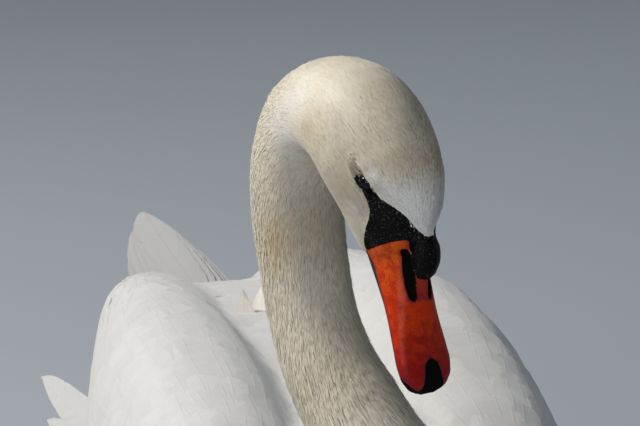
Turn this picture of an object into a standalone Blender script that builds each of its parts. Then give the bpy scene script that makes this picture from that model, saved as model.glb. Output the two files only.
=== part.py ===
"""A mute swan at life size, sitting on its belly with its wings half raised and its head bent down.

Metres, +Z up. The swan faces -Y, and its left side is +X. The origin is the middle of the flat that
its belly rests on. The trunk, wings, tail, neck and head are lofts of oval sections; neighbours are
parted by cuts of 0.3 mm.
"""

import math

import bmesh
import bpy
import numpy as np
from mathutils import Matrix, Vector

GAP = 0.0003
WELD = 0.00003
TRUNK_COUNT = 26
NECK_COUNT = 22
WING_COUNT = 22
TAIL_COUNT = 16
BLADE_COUNT = 10
LIMB_COUNT = 7

# The trunk, from breast to rump: its half width, top and bottom before its ends are rounded off.
TRUNK_RINGS = 18
TRUNK_Y = (-0.355, -0.300, -0.220, -0.120, 0.000, 0.120, 0.220, 0.300, 0.360, 0.405)
TRUNK_HALF_WIDTH = (0.112, 0.121, 0.131, 0.140, 0.143, 0.130, 0.110, 0.091, 0.074, 0.060)
TRUNK_TOP = (0.262, 0.286, 0.302, 0.314, 0.325, 0.332, 0.330, 0.316, 0.300, 0.288)
TRUNK_BOTTOM = (0.070, 0.034, 0.005, -0.006, -0.008, -0.006, 0.006, 0.042, 0.090, 0.132)
TRUNK_FULLNESS = 2.3
TRUNK_NOSE = 0.15
TRUNK_RUMP = 0.11

# The head's own frame: origin at the corner of the gape, on the midline. The bill points 66 degrees
# down and the head is turned 23 degrees to the swan's left.
UP = Vector((0, 0, 1))
HEAD_AT = Vector((-0.0311, -0.2947, 0.4733))
HEAD_TURN = math.radians(23)
BILL_DOWN = math.radians(66)
TURNED = Vector((math.sin(HEAD_TURN), -math.cos(HEAD_TURN), 0))
AHEAD = TURNED * math.cos(BILL_DOWN) - Vector((0, 0, math.sin(BILL_DOWN)))
CROWNWARD = TURNED * math.sin(BILL_DOWN) + Vector((0, 0, math.cos(BILL_DOWN)))
RIGHTWARD = AHEAD.cross(CROWNWARD)

# The spine of the head and neck. Its head end is given in the head's frame (ahead, crownward).
HEAD_SPINE = ((0.001, 0.0115), (-0.012, 0.0115), (-0.026, 0.0128), (-0.042, 0.0125), (-0.060, 0.006))
NECK_SPINE = (
    (-0.046, -0.253, 0.547),
    (-0.0535, -0.223, 0.5475),
    (-0.0590, -0.1995, 0.534),
    (-0.0635, -0.188, 0.505),
    (-0.064, -0.189, 0.475),
    (-0.062, -0.195, 0.447),
    (-0.058, -0.205, 0.4105),
    (-0.0495, -0.225, 0.3767),
    (-0.036, -0.245, 0.350),
    (-0.020, -0.262, 0.315),
    (-0.007, -0.266, 0.275),
    (0.0, -0.256, 0.225),
    (0.0, -0.236, 0.175),
)
SPINE_STEP = 0.002

# Sections of head and neck by their distance back along the spine: half width, and how far the back
# of the neck (the crown) and the throat lie from the spine.
SECTION_AT = (
    0.0, 0.012, 0.025, 0.040, 0.058, 0.080, 0.110, 0.150, 0.200, 0.260, 0.310, 0.345, 0.380, 0.415, 0.455, 0.510
)
SECTION_HALF_WIDTH = (
    0.0192, 0.0254, 0.0296, 0.0328, 0.0348, 0.0352, 0.0330, 0.0303, 0.0292, 0.0276, 0.0290, 0.0325, 0.0410,
    0.0560, 0.0760, 0.0920
)
SECTION_CROWN = (
    0.0240, 0.0304, 0.0360, 0.0418, 0.0458, 0.0452, 0.0378, 0.0318, 0.0296, 0.0275, 0.0285, 0.0315, 0.0390,
    0.0510, 0.0650, 0.0760
)
SECTION_THROAT = (
    0.0235, 0.0290, 0.0322, 0.0338, 0.0335, 0.0320, 0.0305, 0.0300, 0.0292, 0.0276, 0.0295, 0.0345, 0.0450,
    0.0600, 0.0760, 0.0880
)
SECTION_PINCH = (0.22, 0.25, 0.21, 0.16, 0.09, 0.02, 0.0, 0.0, 0.0, 0.0, 0.0, 0.0, 0.0, 0.0, 0.0, 0.0)
HEAD_ENDS = 0.092
NECK_UPPER_ENDS = 0.205
NECK_MIDDLE_ENDS = 0.315
NECK_FULLNESS = 2.1
HEAD_STEP = 0.0090
NECK_STEP = 0.0135

# The bill, in the head's frame: distance ahead of the gape, half width, culmen and cutting edge.
BILL_AT = (0.0015, 0.010, 0.025, 0.043, 0.060, 0.073, 0.0815, 0.0868, 0.0888)
BILL_HALF_WIDTH = (0.0176, 0.0173, 0.0170, 0.0175, 0.0189, 0.0192, 0.0162, 0.0098, 0.0034)
BILL_CULMEN = (0.0305, 0.0265, 0.0200, 0.0140, 0.0104, 0.0090, 0.0075, 0.0050, 0.0018)
BILL_EDGE = (0.0, 0.0, 0.0, 0.0, 0.0, -0.0004, -0.0016, -0.0030, -0.0034)
LOWER_AT = (0.0015, 0.015, 0.033, 0.056, 0.070, 0.079, 0.0832)
LOWER_HALF_WIDTH = (0.0160, 0.0154, 0.0150, 0.0158, 0.0160, 0.0114, 0.0035)
LOWER_DEPTH = (0.0125, 0.0098, 0.0076, 0.0062, 0.0056, 0.0048, 0.0040)
LOWER_TOP = (0.0, 0.0, 0.0, 0.0, -0.0004, -0.0022, -0.0030)
BILL_RINGS = 14
LOWER_RINGS = 10
BILL_FULLNESS = 2.3
LOWER_FULLNESS = 2.4
BILL_COUNT = 12
KNOB_AT = (0.0090, 0.0290)
KNOB_HALF = (0.0100, 0.0166, 0.0102)
KNOB_TILT = math.radians(26)
NOSTRIL_AT = (0.0136, 0.0225, 0.0170)
NOSTRIL_HALF = (0.0036, 0.0100, 0.0022)
NAIL_AT = (0.0815, 0.0120)
NAIL_HALF = (0.0085, 0.0105, 0.0200)

EYE_AT = (0.0254, -0.0410, 0.0252)
EYE_RADIUS = 0.0056

# A half-raised wing, from the wrist beside the breast to the ends of the tertials: its inner and
# outer edge, top and bottom before its ends are rounded off.
WING_RINGS = 17
WING_Y = (-0.262, -0.210, -0.150, -0.080, 0.000, 0.050, 0.100, 0.150, 0.200, 0.250, 0.300, 0.345, 0.392)
WING_INNER = (0.050, 0.040, 0.027, 0.017, 0.012, 0.011, 0.010, 0.009, 0.009, 0.010, 0.014, 0.022, 0.032)
WING_OUTER = (0.128, 0.140, 0.149, 0.155, 0.157, 0.154, 0.145, 0.133, 0.120, 0.107, 0.093, 0.080, 0.066)
WING_TOP = (0.262, 0.290, 0.316, 0.338, 0.356, 0.362, 0.362, 0.358, 0.352, 0.342, 0.328, 0.316, 0.306)
WING_BOTTOM = (0.130, 0.112, 0.098, 0.088, 0.084, 0.086, 0.094, 0.108, 0.130, 0.158, 0.192, 0.226, 0.258)
WING_FULLNESS = 2.4
WING_NOSE = 0.16
WING_END = 0.10
WING_LIFT = {"right": -0.010, "left": 0.008}
WING_LIFT_AT = 0.12
WING_LIFT_REACH = 0.17

# The ends of the folded primaries, each a blade: root, tip, half thickness and half height.
PRIMARIES = (
    ((0.090, 0.17, 0.222), (0.1180, 0.366, 0.2310), 0.0048, 0.022),
    ((0.088, 0.16, 0.194), (0.1070, 0.348, 0.2030), 0.0048, 0.019),
)
PRIMARY_RINGS = 8
PRIMARY_AT = (0.0, 0.25, 0.55, 0.78, 0.92, 1.0)
PRIMARY_FULL = (1.0, 1.0, 0.92, 0.66, 0.36, 0.08)
PRIMARY_THINNEST = 0.25
PRIMARY_FULLNESS = 2.2

# The narrow folded tail: a wedge of feathers, from under the rump to its tip.
TAIL_AT = (0.0, 0.20, 0.45, 0.68, 0.86, 0.96, 1.0)
TAIL_HALF_WIDTH = (0.044, 0.039, 0.030, 0.0215, 0.0145, 0.009, 0.004)
TAIL_HALF_THICK = (0.022, 0.0170, 0.0120, 0.0080, 0.0050, 0.0032, 0.0020)
TAIL_ROOT = Vector((0.0, 0.300, 0.280))
TAIL_BEND = Vector((-0.005, 0.420, 0.296))
TAIL_TIP = Vector((-0.002, 0.540, 0.307))
TAIL_RINGS = 10
TAIL_CAMBER = 0.012

# A folded leg: the ankle lies behind, and the webbed foot lies forward on the floor.
ANKLE_AT = Vector((0.080, 0.216, 0.0092))
TOES_MEET_AT = Vector((0.0995, 0.112, 0.0085))
THIGH_AT = Vector((0.070, 0.190, 0.090))
TARSUS_RADIUS = 0.0062
TARSUS_AT = (0.0, 0.12, 0.5, 0.86, 1.0)
TARSUS_GIRTH = (1.15, 1.0, 0.92, 1.05, 1.2)
TARSUS_SHORT = 0.006
ANKLE_RADIUS = 0.0095
SHIN_GIRTH = (0.8, 1.4)

# The foot's outline seen from above, about the point where the toes meet: the bearing in degrees out
# from straight ahead, and how far the outline lies. Then each toe's bearing and length; the fourth is
# the small hind toe.
HEEL_RADIUS = 0.0085
FOOT_OUTLINE = (
    (-30, HEEL_RADIUS), (-13.5, 0.010), (-12, 0.036), (-9.4, 0.099), (-7, 0.104), (-4.6, 0.099), (-2, 0.101),
    (0.5, 0.104), (3, 0.115), (5.6, 0.127), (8, 0.134), (10.4, 0.127), (13, 0.119), (16, 0.109), (19, 0.110),
    (21.6, 0.110), (24, 0.116), (26.4, 0.110), (29, 0.040), (30.5, 0.010), (60, HEEL_RADIUS),
    (100, HEEL_RADIUS), (140, HEEL_RADIUS), (154, HEEL_RADIUS), (168, 0.024), (182, HEEL_RADIUS),
    (215, HEEL_RADIUS), (250, HEEL_RADIUS), (290, HEEL_RADIUS)
)
TOES = ((24, 0.116), (8, 0.134), (-7, 0.104), (168, 0.024))
TOE_RADIUS = 0.0050
TOE_AT = (0.0, 0.30, 0.65, 0.90, 1.0)
TOE_GIRTH = (1.0, 0.96, 0.82, 0.56, 0.26)
WEB_THICK = 0.0024
FOOT_RIM = 0.0012
FOOT_RINGS = (0.07, 0.18, 0.36, 0.56, 0.76, 0.92, 1.0)

PLUMAGE = (0.86, 0.85, 0.82)
HEAD_PLUMAGE = (0.80, 0.76, 0.66)
BILL_ORANGE = (0.78, 0.15, 0.03)
BARE_BLACK = (0.015, 0.014, 0.014)
FOOT_BLACK = (0.05, 0.048, 0.045)
EYE_BROWN = (0.02, 0.012, 0.008)


def clear_scene():
    for obj in list(bpy.data.objects):
        bpy.data.objects.remove(obj)


def material(name, colour, roughness):
    made = bpy.data.materials.new(name)
    made.use_nodes = True
    shader = made.node_tree.nodes["Principled BSDF"]
    shader.inputs["Base Color"].default_value = (*colour, 1)
    shader.inputs["Roughness"].default_value = roughness
    shader.inputs["Metallic"].default_value = 0.0
    return made


def through(stations, values, at):
    """The smooth curve through values at the stations, read at each of `at`."""
    s = np.asarray(stations, float)
    v = np.asarray(values, float)
    slope = np.gradient(v, s, axis=0)
    span = np.clip(np.searchsorted(s, at, side="right") - 1, 0, len(s) - 2)
    width = s[span + 1] - s[span]
    t = (np.asarray(at) - s[span]) / width
    if v.ndim > 1:
        t, width = t[:, None], width[:, None]
    start = (1 + 2 * t) * (1 - t) ** 2 * v[span] + t * (1 - t) ** 2 * width * slope[span]
    end = t * t * (3 - 2 * t) * v[span + 1] - t * t * (1 - t) * width * slope[span + 1]
    return start + end


def close_ended(count):
    """Numbers from 0 to 1 that crowd together near both ends, where a rounded shape closes."""
    return (1 - np.cos(np.linspace(0, np.pi, count))) / 2


def rounded(at, start, end, nose, tail):
    """The factor that closes a shape along its length with round ends of the given lengths."""
    near = np.clip((at - start) / nose, 0, 1)
    far = np.clip((end - at) / tail, 0, 1)
    return np.maximum(0.04, np.sqrt((1 - (1 - near) ** 2) * (1 - (1 - far) ** 2)))


def oval(count, half_width, above, below, fullness, pinch=0.0):
    """A ring of (across, up) points. Pinch narrows its upper half."""
    turn = np.linspace(0, 2 * np.pi, count, endpoint=False)
    power = 2 / fullness
    across = half_width * np.sign(np.cos(turn)) * np.abs(np.cos(turn)) ** power
    up = np.sign(np.sin(turn)) * np.abs(np.sin(turn)) ** power
    across = across * (1 - pinch * np.clip(up, 0, 1))
    return np.stack([across, up * np.where(up > 0, above, below)], 1)


def tidy(mesh):
    """Triangles only, with no slivers: a copy then cuts along the very same facets."""
    shape = bmesh.new()
    shape.from_mesh(mesh)
    bmesh.ops.remove_doubles(shape, verts=shape.verts, dist=WELD)
    bmesh.ops.dissolve_degenerate(shape, edges=shape.edges, dist=WELD)
    bmesh.ops.triangulate(shape, faces=shape.faces)
    shape.to_mesh(mesh)
    shape.free()


def finish(mesh, name, paint):
    tidy(mesh)
    mesh.shade_smooth()
    mesh.materials.append(paint)
    obj = bpy.data.objects.new(name, mesh)
    bpy.context.scene.collection.objects.link(obj)
    return obj


def loft(name, rings, paint):
    """A closed solid through rings of equal counts, with flat ends."""
    shape = bmesh.new()
    rows = [[shape.verts.new(p) for p in ring] for ring in rings]
    count = len(rows[0])
    for near, far in zip(rows, rows[1:]):
        for i in range(count):
            j = (i + 1) % count
            shape.faces.new((near[i], near[j], far[j], far[i]))
    shape.faces.new(rows[0])
    shape.faces.new(rows[-1])
    bmesh.ops.recalc_face_normals(shape, faces=shape.faces)
    mesh = bpy.data.meshes.new(name)
    shape.to_mesh(mesh)
    shape.free()
    return finish(mesh, name, paint)


def ball(name, at, half, paint, turn=None, segments=12):
    """An ellipsoid of the given half sizes, turned by a 3 by 3 matrix."""
    shape = bmesh.new()
    bmesh.ops.create_uvsphere(shape, u_segments=segments, v_segments=segments // 2 + 2, radius=1)
    place = Matrix.Translation(at) @ (turn or Matrix.Identity(3)).to_4x4() @ Matrix.Diagonal((*half, 1))
    shape.transform(place)
    bmesh.ops.recalc_face_normals(shape, faces=shape.faces)
    mesh = bpy.data.meshes.new(name)
    shape.to_mesh(mesh)
    shape.free()
    return finish(mesh, name, paint)


def copy_of(obj, grow=0.0):
    """A helper copy of a solid, each point moved out along its normal."""
    made = bpy.data.objects.new("helper_" + obj.name, obj.data.copy())
    bpy.context.scene.collection.objects.link(made)
    outward = [v.normal.copy() for v in made.data.vertices]
    for vertex, normal in zip(made.data.vertices, outward):
        vertex.co += normal * grow
    return made


def combine(obj, other, operation):
    """Applies an exact Boolean of obj with a helper, which is then removed."""
    step = obj.modifiers.new("cut", "BOOLEAN")
    step.operation = operation
    step.solver = "EXACT"
    step.object = other
    graph = bpy.context.evaluated_depsgraph_get()
    mesh = bpy.data.meshes.new_from_object(obj.evaluated_get(graph))
    obj.modifiers.remove(step)
    tidy(mesh)
    obj.data = mesh
    bpy.data.objects.remove(other)


def keep_largest(mesh):
    """Drops the crumbs that a cut leaves on the far side of a neighbour."""
    shape = bmesh.new()
    shape.from_mesh(mesh)
    left = set(shape.verts)
    bodies = []
    while left:
        body, edge = set(), [left.pop()]
        while edge:
            vertex = edge.pop()
            body.add(vertex)
            near = {e.other_vert(vertex) for e in vertex.link_edges} & left
            left -= near
            edge.extend(near)
        bodies.append(body)
    bodies.sort(key=len)
    for crumb in bodies[:-1]:
        bmesh.ops.delete(shape, geom=list(crumb), context="VERTS")
    shape.to_mesh(mesh)
    shape.free()


def cut_clear(obj, *neighbours):
    """Cuts obj back until it stands GAP clear of its neighbours."""
    for neighbour in neighbours:
        combine(obj, copy_of(neighbour, GAP), "DIFFERENCE")
    keep_largest(obj.data)


def in_head(right, ahead, crown):
    """A point given in the head's frame."""
    return HEAD_AT + RIGHTWARD * right + AHEAD * ahead + CROWNWARD * crown


def make_trunk(paint):
    y = TRUNK_Y[0] + (TRUNK_Y[-1] - TRUNK_Y[0]) * close_ended(TRUNK_RINGS)
    width, top, bottom = (through(TRUNK_Y, v, y) for v in (TRUNK_HALF_WIDTH, TRUNK_TOP, TRUNK_BOTTOM))
    shrink = rounded(y, TRUNK_Y[0], TRUNK_Y[-1], TRUNK_NOSE, TRUNK_RUMP)
    rings = []
    for at, half_width, high, low, size in zip(y, width, top, bottom, shrink):
        middle = low + (high - low) * 0.5
        half_height = (high - low) / 2 * size
        ring = oval(TRUNK_COUNT, half_width * size, half_height, half_height, TRUNK_FULLNESS)
        # The belly is flat where it would dip below the floor.
        rings.append([(x, at, max(0.0, middle + z)) for x, z in ring])
    return loft("trunk", rings, paint)


def neck_sections():
    """The rings of head and neck as a function of the distance back along the spine."""
    head_end = [in_head(0, ahead, crown) for ahead, crown in HEAD_SPINE]
    knots = np.array([*head_end, *map(Vector, NECK_SPINE)])
    reach = np.concatenate([[0], np.cumsum(np.linalg.norm(np.diff(knots, axis=0), axis=1))])
    fine = through(reach, knots, np.linspace(0, reach[-1], 600))
    length = np.concatenate([[0], np.cumsum(np.linalg.norm(np.diff(fine, axis=0), axis=1))])
    at = np.arange(0, length[-1], SPINE_STEP)
    points = np.stack([np.interp(at, length, fine[:, k]) for k in range(3)], 1)
    heading = np.gradient(points, axis=0)
    heading /= np.linalg.norm(heading, axis=1)[:, None]
    crown = np.array(CROWNWARD)
    dorsal = []
    for direction in heading:
        crown = crown - direction * (crown @ direction)
        crown /= np.linalg.norm(crown)
        dorsal.append(crown)
    dorsal = np.array(dorsal)

    def ring(back):
        where, way, up = (
            np.array([np.interp(back, at, track[:, k]) for k in range(3)]) for track in (points, heading, dorsal)
        )
        side = np.cross(way, up)
        size = [
            float(through(SECTION_AT, v, np.array([back]))[0])
            for v in (SECTION_HALF_WIDTH, SECTION_CROWN, SECTION_THROAT, SECTION_PINCH)
        ]
        section = oval(NECK_COUNT, size[0], size[1], size[2], NECK_FULLNESS, size[3])
        return [tuple(where + side * x + up * z) for x, z in section]

    return ring, at[-1]


def neck_length(name, ring, start, end, step, paint):
    steps = round((end - start) / step)
    backs = np.linspace(start + GAP / 2, end - GAP / 2, steps + 1)
    return loft(name, [ring(back) for back in backs], paint)


def bill_half(name, ahead, half_width, top, bottom, fullness, paint):
    """A half of the bill: each section is a dome over a flat, or that turned over."""
    rings = []
    for at, width, high, low in zip(ahead, half_width, top, bottom):
        turn = np.linspace(0, np.pi, BILL_COUNT)
        power = 2 / fullness
        across = width * np.sign(np.cos(turn)) * np.abs(np.cos(turn)) ** power
        up = low + (high - low) * np.sin(turn) ** power
        rings.append([tuple(in_head(x, at, z)) for x, z in zip(across, up)])
    return loft(name, rings, paint)


def make_bill(horn, black):
    at = BILL_AT[0] + (BILL_AT[-1] - BILL_AT[0]) * np.sin(np.linspace(0, np.pi / 2, BILL_RINGS))
    sizes = [through(BILL_AT, v, at) for v in (BILL_HALF_WIDTH, BILL_CULMEN, BILL_EDGE)]
    upper = bill_half("bill_upper", at, *sizes, BILL_FULLNESS, horn)
    at = LOWER_AT[0] + (LOWER_AT[-1] - LOWER_AT[0]) * np.sin(np.linspace(0, np.pi / 2, LOWER_RINGS))
    width, depth, top = (through(LOWER_AT, v, at) for v in (LOWER_HALF_WIDTH, LOWER_DEPTH, LOWER_TOP))
    lower = bill_half("bill_lower", at, width, top - GAP - depth, top - GAP, LOWER_FULLNESS, black)
    cut_clear(lower, upper)
    in_bill = Matrix((RIGHTWARD, AHEAD, CROWNWARD)).transposed()
    knob = ball("bill_knob", in_head(0, *KNOB_AT), KNOB_HALF, black, in_bill @ Matrix.Rotation(-KNOB_TILT, 3, "X"))
    cut_clear(knob, upper)
    for side in (1, -1):
        right, ahead, crown = NOSTRIL_AT
        slot = ball("slot", in_head(side * right, ahead, crown), NOSTRIL_HALF, black, in_bill, 8)
        combine(upper, slot, "DIFFERENCE")
    nail = copy_of(upper)
    nail.name = nail.data.name = "bill_nail"
    nail.data.materials.clear()
    nail.data.materials.append(black)
    outline = ball("outline", in_head(0, *NAIL_AT), NAIL_HALF, black, in_bill, 12)
    combine(upper, copy_of(outline, GAP), "DIFFERENCE")
    combine(nail, outline, "INTERSECT")
    return upper, lower, knob, nail


def make_eyes(paint):
    right, ahead, crown = EYE_AT
    sides = {"right": 1, "left": -1}
    return [
        ball(f"eye_{side}", in_head(sign * right, ahead, crown), (EYE_RADIUS,) * 3, paint, None, 10)
        for side, sign in sides.items()
    ]


def make_wing(side, sign, paint):
    y = WING_Y[0] + (WING_Y[-1] - WING_Y[0]) * close_ended(WING_RINGS)
    inner, outer, top, bottom = (through(WING_Y, v, y) for v in (WING_INNER, WING_OUTER, WING_TOP, WING_BOTTOM))
    top = top + WING_LIFT[side] * np.exp(-(((y - WING_LIFT_AT) / WING_LIFT_REACH) ** 2))
    shrink = rounded(y, WING_Y[0], WING_Y[-1], WING_NOSE, WING_END)
    rings = []
    for i, at in enumerate(y):
        half_width = (outer[i] - inner[i]) / 2 * shrink[i]
        half_height = (top[i] - bottom[i]) / 2 * shrink[i]
        ring = oval(WING_COUNT, half_width, half_height, half_height, WING_FULLNESS)
        x, z = (outer[i] + inner[i]) / 2, (top[i] + bottom[i]) / 2
        rings.append([(sign * (x + across), at, z + up) for across, up in ring])
    return loft(f"wing_{side}", rings, paint)


def make_primaries(side, sign, paint):
    """The ends of the long flight feathers, which show below the wing's rear edge."""
    blades = []
    for number, (root, tip, thick, tall) in enumerate(PRIMARIES):
        root, tip = Vector(root), Vector(tip)
        root.x, tip.x = root.x * sign, tip.x * sign
        way = (tip - root).normalized()
        out = way.cross(UP).normalized()
        high = out.cross(way)
        rings = []
        for t in np.linspace(0, 1, PRIMARY_RINGS):
            full = float(through(PRIMARY_AT, PRIMARY_FULL, np.array([t]))[0])
            middle = root.lerp(tip, t)
            section = oval(BLADE_COUNT, thick * max(PRIMARY_THINNEST, full), tall * full, tall * full, PRIMARY_FULLNESS)
            rings.append([tuple(middle + out * x + high * z) for x, z in section])
        blades.append(loft(f"primaries_{side}" if number == 0 else "blade", rings, paint))
    for blade in blades[1:]:
        combine(blades[0], blade, "UNION")
    return blades[0]


def make_tail(paint):
    rings = []
    for t in np.linspace(0, 1, TAIL_RINGS):
        middle = TAIL_ROOT.lerp(TAIL_BEND, t).lerp(TAIL_BEND.lerp(TAIL_TIP, t), t)
        way = (TAIL_ROOT.lerp(TAIL_BEND, t) - TAIL_BEND.lerp(TAIL_TIP, t)).normalized() * -1
        side = way.cross(UP).normalized()
        up = side.cross(way)
        width, thick = (
            float(through(TAIL_AT, v, np.array([t]))[0]) for v in (TAIL_HALF_WIDTH, TAIL_HALF_THICK)
        )
        section = oval(TAIL_COUNT, width, thick, thick, 2.0)
        droop = TAIL_CAMBER * (width / TAIL_HALF_WIDTH[1])
        rings.append([tuple(middle + side * x + up * (z - droop * (x / width) ** 2)) for x, z in section])
    return loft("tail", rings, paint)


def limb(name, path, radii, paint):
    """A round, tapering tube along straight joints, with flat ends."""
    points = [Vector(p) for p in path]
    rings = []
    for i, (point, radius) in enumerate(zip(points, radii)):
        way = (points[min(i + 1, len(points) - 1)] - points[max(i - 1, 0)]).normalized()
        side = way.cross(UP).normalized()
        up = side.cross(way)
        rings.append([tuple(point + side * x + up * z) for x, z in oval(LIMB_COUNT, radius, radius, radius, 2.0)])
    return loft(name, rings, paint)


def flat_on_floor(obj):
    """Cuts away what lies lower than the floor, which leaves a small flat."""
    below = ball("below", (0, 0, 0), (1, 1, 1), obj.data.materials[0], None, 4)
    shape = bmesh.new()
    bmesh.ops.create_cube(shape, size=1.0)
    shape.transform(Matrix.Translation((0, 0, -0.5)))
    shape.to_mesh(below.data)
    shape.free()
    combine(obj, below, "DIFFERENCE")


def make_leg(side, sign, paint):
    """Thigh, ankle and tarsus, folded forward along the floor."""
    flip = Matrix.Diagonal((sign, 1, 1))
    ankle, toes, thigh = (flip @ p for p in (ANKLE_AT, TOES_MEET_AT, THIGH_AT))
    end = toes + (ankle - toes).normalized() * TARSUS_SHORT
    tarsus = [ankle.lerp(end, t) for t in TARSUS_AT]
    leg = limb(f"leg_{side}", tarsus, [TARSUS_RADIUS * girth for girth in TARSUS_GIRTH], paint)
    combine(leg, ball("ankle", ankle, (ANKLE_RADIUS,) * 3, paint, None, 8), "UNION")
    shin = limb("shin", [ankle, thigh], [ANKLE_RADIUS * girth for girth in SHIN_GIRTH], paint)
    combine(leg, shin, "UNION")
    flat_on_floor(leg)
    return leg


def foot_height(bearing, out):
    """The height of the foot's upper surface: web, or the round back of a toe."""
    webbed = TOES[2][0] < bearing < TOES[0][0]
    height = WEB_THICK if webbed else FOOT_RIM
    for angle, length in TOES:
        turn = math.radians(bearing - angle)
        along = out * math.cos(turn)
        if along >= 0:
            radius = TOE_RADIUS * float(np.interp(along / length, TOE_AT, TOE_GIRTH))
            beside = min(1.0, abs(out * math.sin(turn)) / radius)
            height = max(height, 2 * radius * math.sqrt(1 - beside * beside))
    return height


def make_foot(side, sign, paint):
    """Three webbed toes and the small hind toe, flat on the floor."""
    heel = Vector((sign * TOES_MEET_AT.x, TOES_MEET_AT.y, 0))
    rows = []
    for ring in FOOT_RINGS:
        row = []
        for bearing, reach in FOOT_OUTLINE:
            turn = math.radians(bearing)
            high = FOOT_RIM if ring == 1.0 else foot_height(bearing, reach * ring)
            row.append(heel + Vector((sign * math.sin(turn), -math.cos(turn), 0)) * reach * ring + UP * high)
        rows.append(row)
    rows.append([Vector((point.x, point.y, 0)) for point in rows[-1]])
    return loft(f"foot_{side}", rows, paint)


def build():
    clear_scene()
    white = material("white plumage", PLUMAGE, 0.8)
    cream = material("head plumage", HEAD_PLUMAGE, 0.8)
    horn = material("orange horn", BILL_ORANGE, 0.35)
    black = material("black skin", BARE_BLACK, 0.4)
    leather = material("foot skin", FOOT_BLACK, 0.55)
    wet = material("eye", EYE_BROWN, 0.08)

    trunk = make_trunk(white)
    ring, spine_end = neck_sections()
    head = neck_length("head", ring, 0.0, HEAD_ENDS, HEAD_STEP, cream)
    neck_length("neck_upper", ring, HEAD_ENDS, NECK_UPPER_ENDS, NECK_STEP, cream)
    neck_length("neck_middle", ring, NECK_UPPER_ENDS, NECK_MIDDLE_ENDS, NECK_STEP, cream)
    neck = neck_length("neck_lower", ring, NECK_MIDDLE_ENDS, spine_end, NECK_STEP, white)

    upper, lower, knob, _ = make_bill(horn, black)
    cut_clear(knob, head)
    for eye in make_eyes(wet):
        cut_clear(head, eye)

    tail = make_tail(white)
    cut_clear(tail, trunk)
    for side, sign in (("right", -1), ("left", 1)):
        # Whatever is cut clear of a wing is cut before the wing itself is.
        wing = make_wing(side, sign, white)
        primaries = make_primaries(side, sign, white)
        cut_clear(primaries, trunk, wing)
        cut_clear(tail, wing)
        cut_clear(wing, trunk, neck)
        leg = make_leg(side, sign, leather)
        foot = make_foot(side, sign, leather)
        cut_clear(leg, trunk, foot)
    cut_clear(neck, trunk)


build()
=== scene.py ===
"""The looks of the mute swan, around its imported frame.

One skin replaces the nodes of flesh. Over it lies the coat: fine strands on the head and neck, and
vanes on the body, wings and tail. Bill, eyes, legs and feet are pieces of their own. Metres; the swan
faces -Y and its left side is +X, as in the frame.
"""

import math
from collections import namedtuple
from contextlib import contextmanager

import bmesh
import bpy
import numpy as np
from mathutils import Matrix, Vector
from mathutils.bvhtree import BVHTree
from mathutils.kdtree import KDTree


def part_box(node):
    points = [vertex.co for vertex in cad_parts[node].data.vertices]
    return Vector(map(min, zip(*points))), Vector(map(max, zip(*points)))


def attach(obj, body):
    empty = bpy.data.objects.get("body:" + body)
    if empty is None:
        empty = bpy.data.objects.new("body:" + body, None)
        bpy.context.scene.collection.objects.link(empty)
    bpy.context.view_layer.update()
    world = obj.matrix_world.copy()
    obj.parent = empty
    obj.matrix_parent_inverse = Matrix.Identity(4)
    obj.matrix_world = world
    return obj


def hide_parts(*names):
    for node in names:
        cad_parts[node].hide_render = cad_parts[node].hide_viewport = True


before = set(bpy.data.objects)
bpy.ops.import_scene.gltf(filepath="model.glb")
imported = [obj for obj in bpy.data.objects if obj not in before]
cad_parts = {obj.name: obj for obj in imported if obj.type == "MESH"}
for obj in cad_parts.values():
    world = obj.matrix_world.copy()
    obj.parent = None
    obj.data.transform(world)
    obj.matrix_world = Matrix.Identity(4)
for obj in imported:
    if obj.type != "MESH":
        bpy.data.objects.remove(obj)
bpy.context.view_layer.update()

SEED = 7

# The camera, in line with the photo's: 14.5 degrees to the swan's right of its front, 13 above.
CAMERA_AT = (-0.831, -3.210, 1.195)
CAMERA_AZIMUTH = math.radians(-14.5)
CAMERA_ELEVATION = math.radians(13.0)
CAMERA_LENS = 288.0
FLOOR_REACH = 8

# The head's own frame: origin at the corner of the gape, on the midline. Coordinates in it are
# (right, ahead, crown).
HEAD_TURN = math.radians(23)
BILL_DOWN = math.radians(66)
EYE_AT = np.array([0.0242, -0.0410, 0.0252])
EYE_RADIUS = 0.0056
EYE_ROWS = 28
EYE_COLUMNS = 40

# The spine from the bill to the rump. Its head end is given in the head's frame (ahead, crown).
HEAD_SPINE = ((0.004, 0.0115), (-0.012, 0.0115), (-0.042, 0.0125), (-0.060, 0.006))
NECK_SPINE = (
    (-0.046, -0.253, 0.547),
    (-0.0535, -0.223, 0.5475),
    (-0.0590, -0.1995, 0.534),
    (-0.0635, -0.188, 0.505),
    (-0.062, -0.195, 0.447),
    (-0.0495, -0.225, 0.3767),
    (-0.036, -0.245, 0.350),
    (-0.020, -0.262, 0.315),
    (-0.007, -0.262, 0.275),
    (0.0, -0.235, 0.225),
    (0.0, -0.180, 0.185),
    (0.0, -0.080, 0.170),
    (0.0, 0.060, 0.180),
    (0.0, 0.220, 0.215),
    (0.0, 0.420, 0.275),
)
SPINE_STEP = 0.004
SPINE_BATCH = 4000
SPINE_GIRTH_AT = (0.0, 0.05, 0.20, 0.34, 0.43, 0.52, 0.80, 1.10)
SPINE_GIRTH = (0.024, 0.033, 0.029, 0.029, 0.060, 0.120, 0.140, 0.090)

FLESH = ("trunk", "neck_lower", "neck_middle", "neck_upper", "head", "wing_left", "wing_right", "bill_knob")
FLESH_SWELL = 0.0004
SKIN_VOXEL = 0.0034
SMOOTHING_ROUNDS = 5
COAT_DEPTH_AT = (0.0, 0.02, 0.06, 0.12, 0.22, 0.34, 0.46)
COAT_DEPTH = (0.0006, 0.0009, 0.0012, 0.0015, 0.0017, 0.0020, 0.0034)
BARE_DEPTH = 0.0002
ARCH_DROP = 0.0030
NECK_BASE_HOLLOW = 0.011

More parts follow.
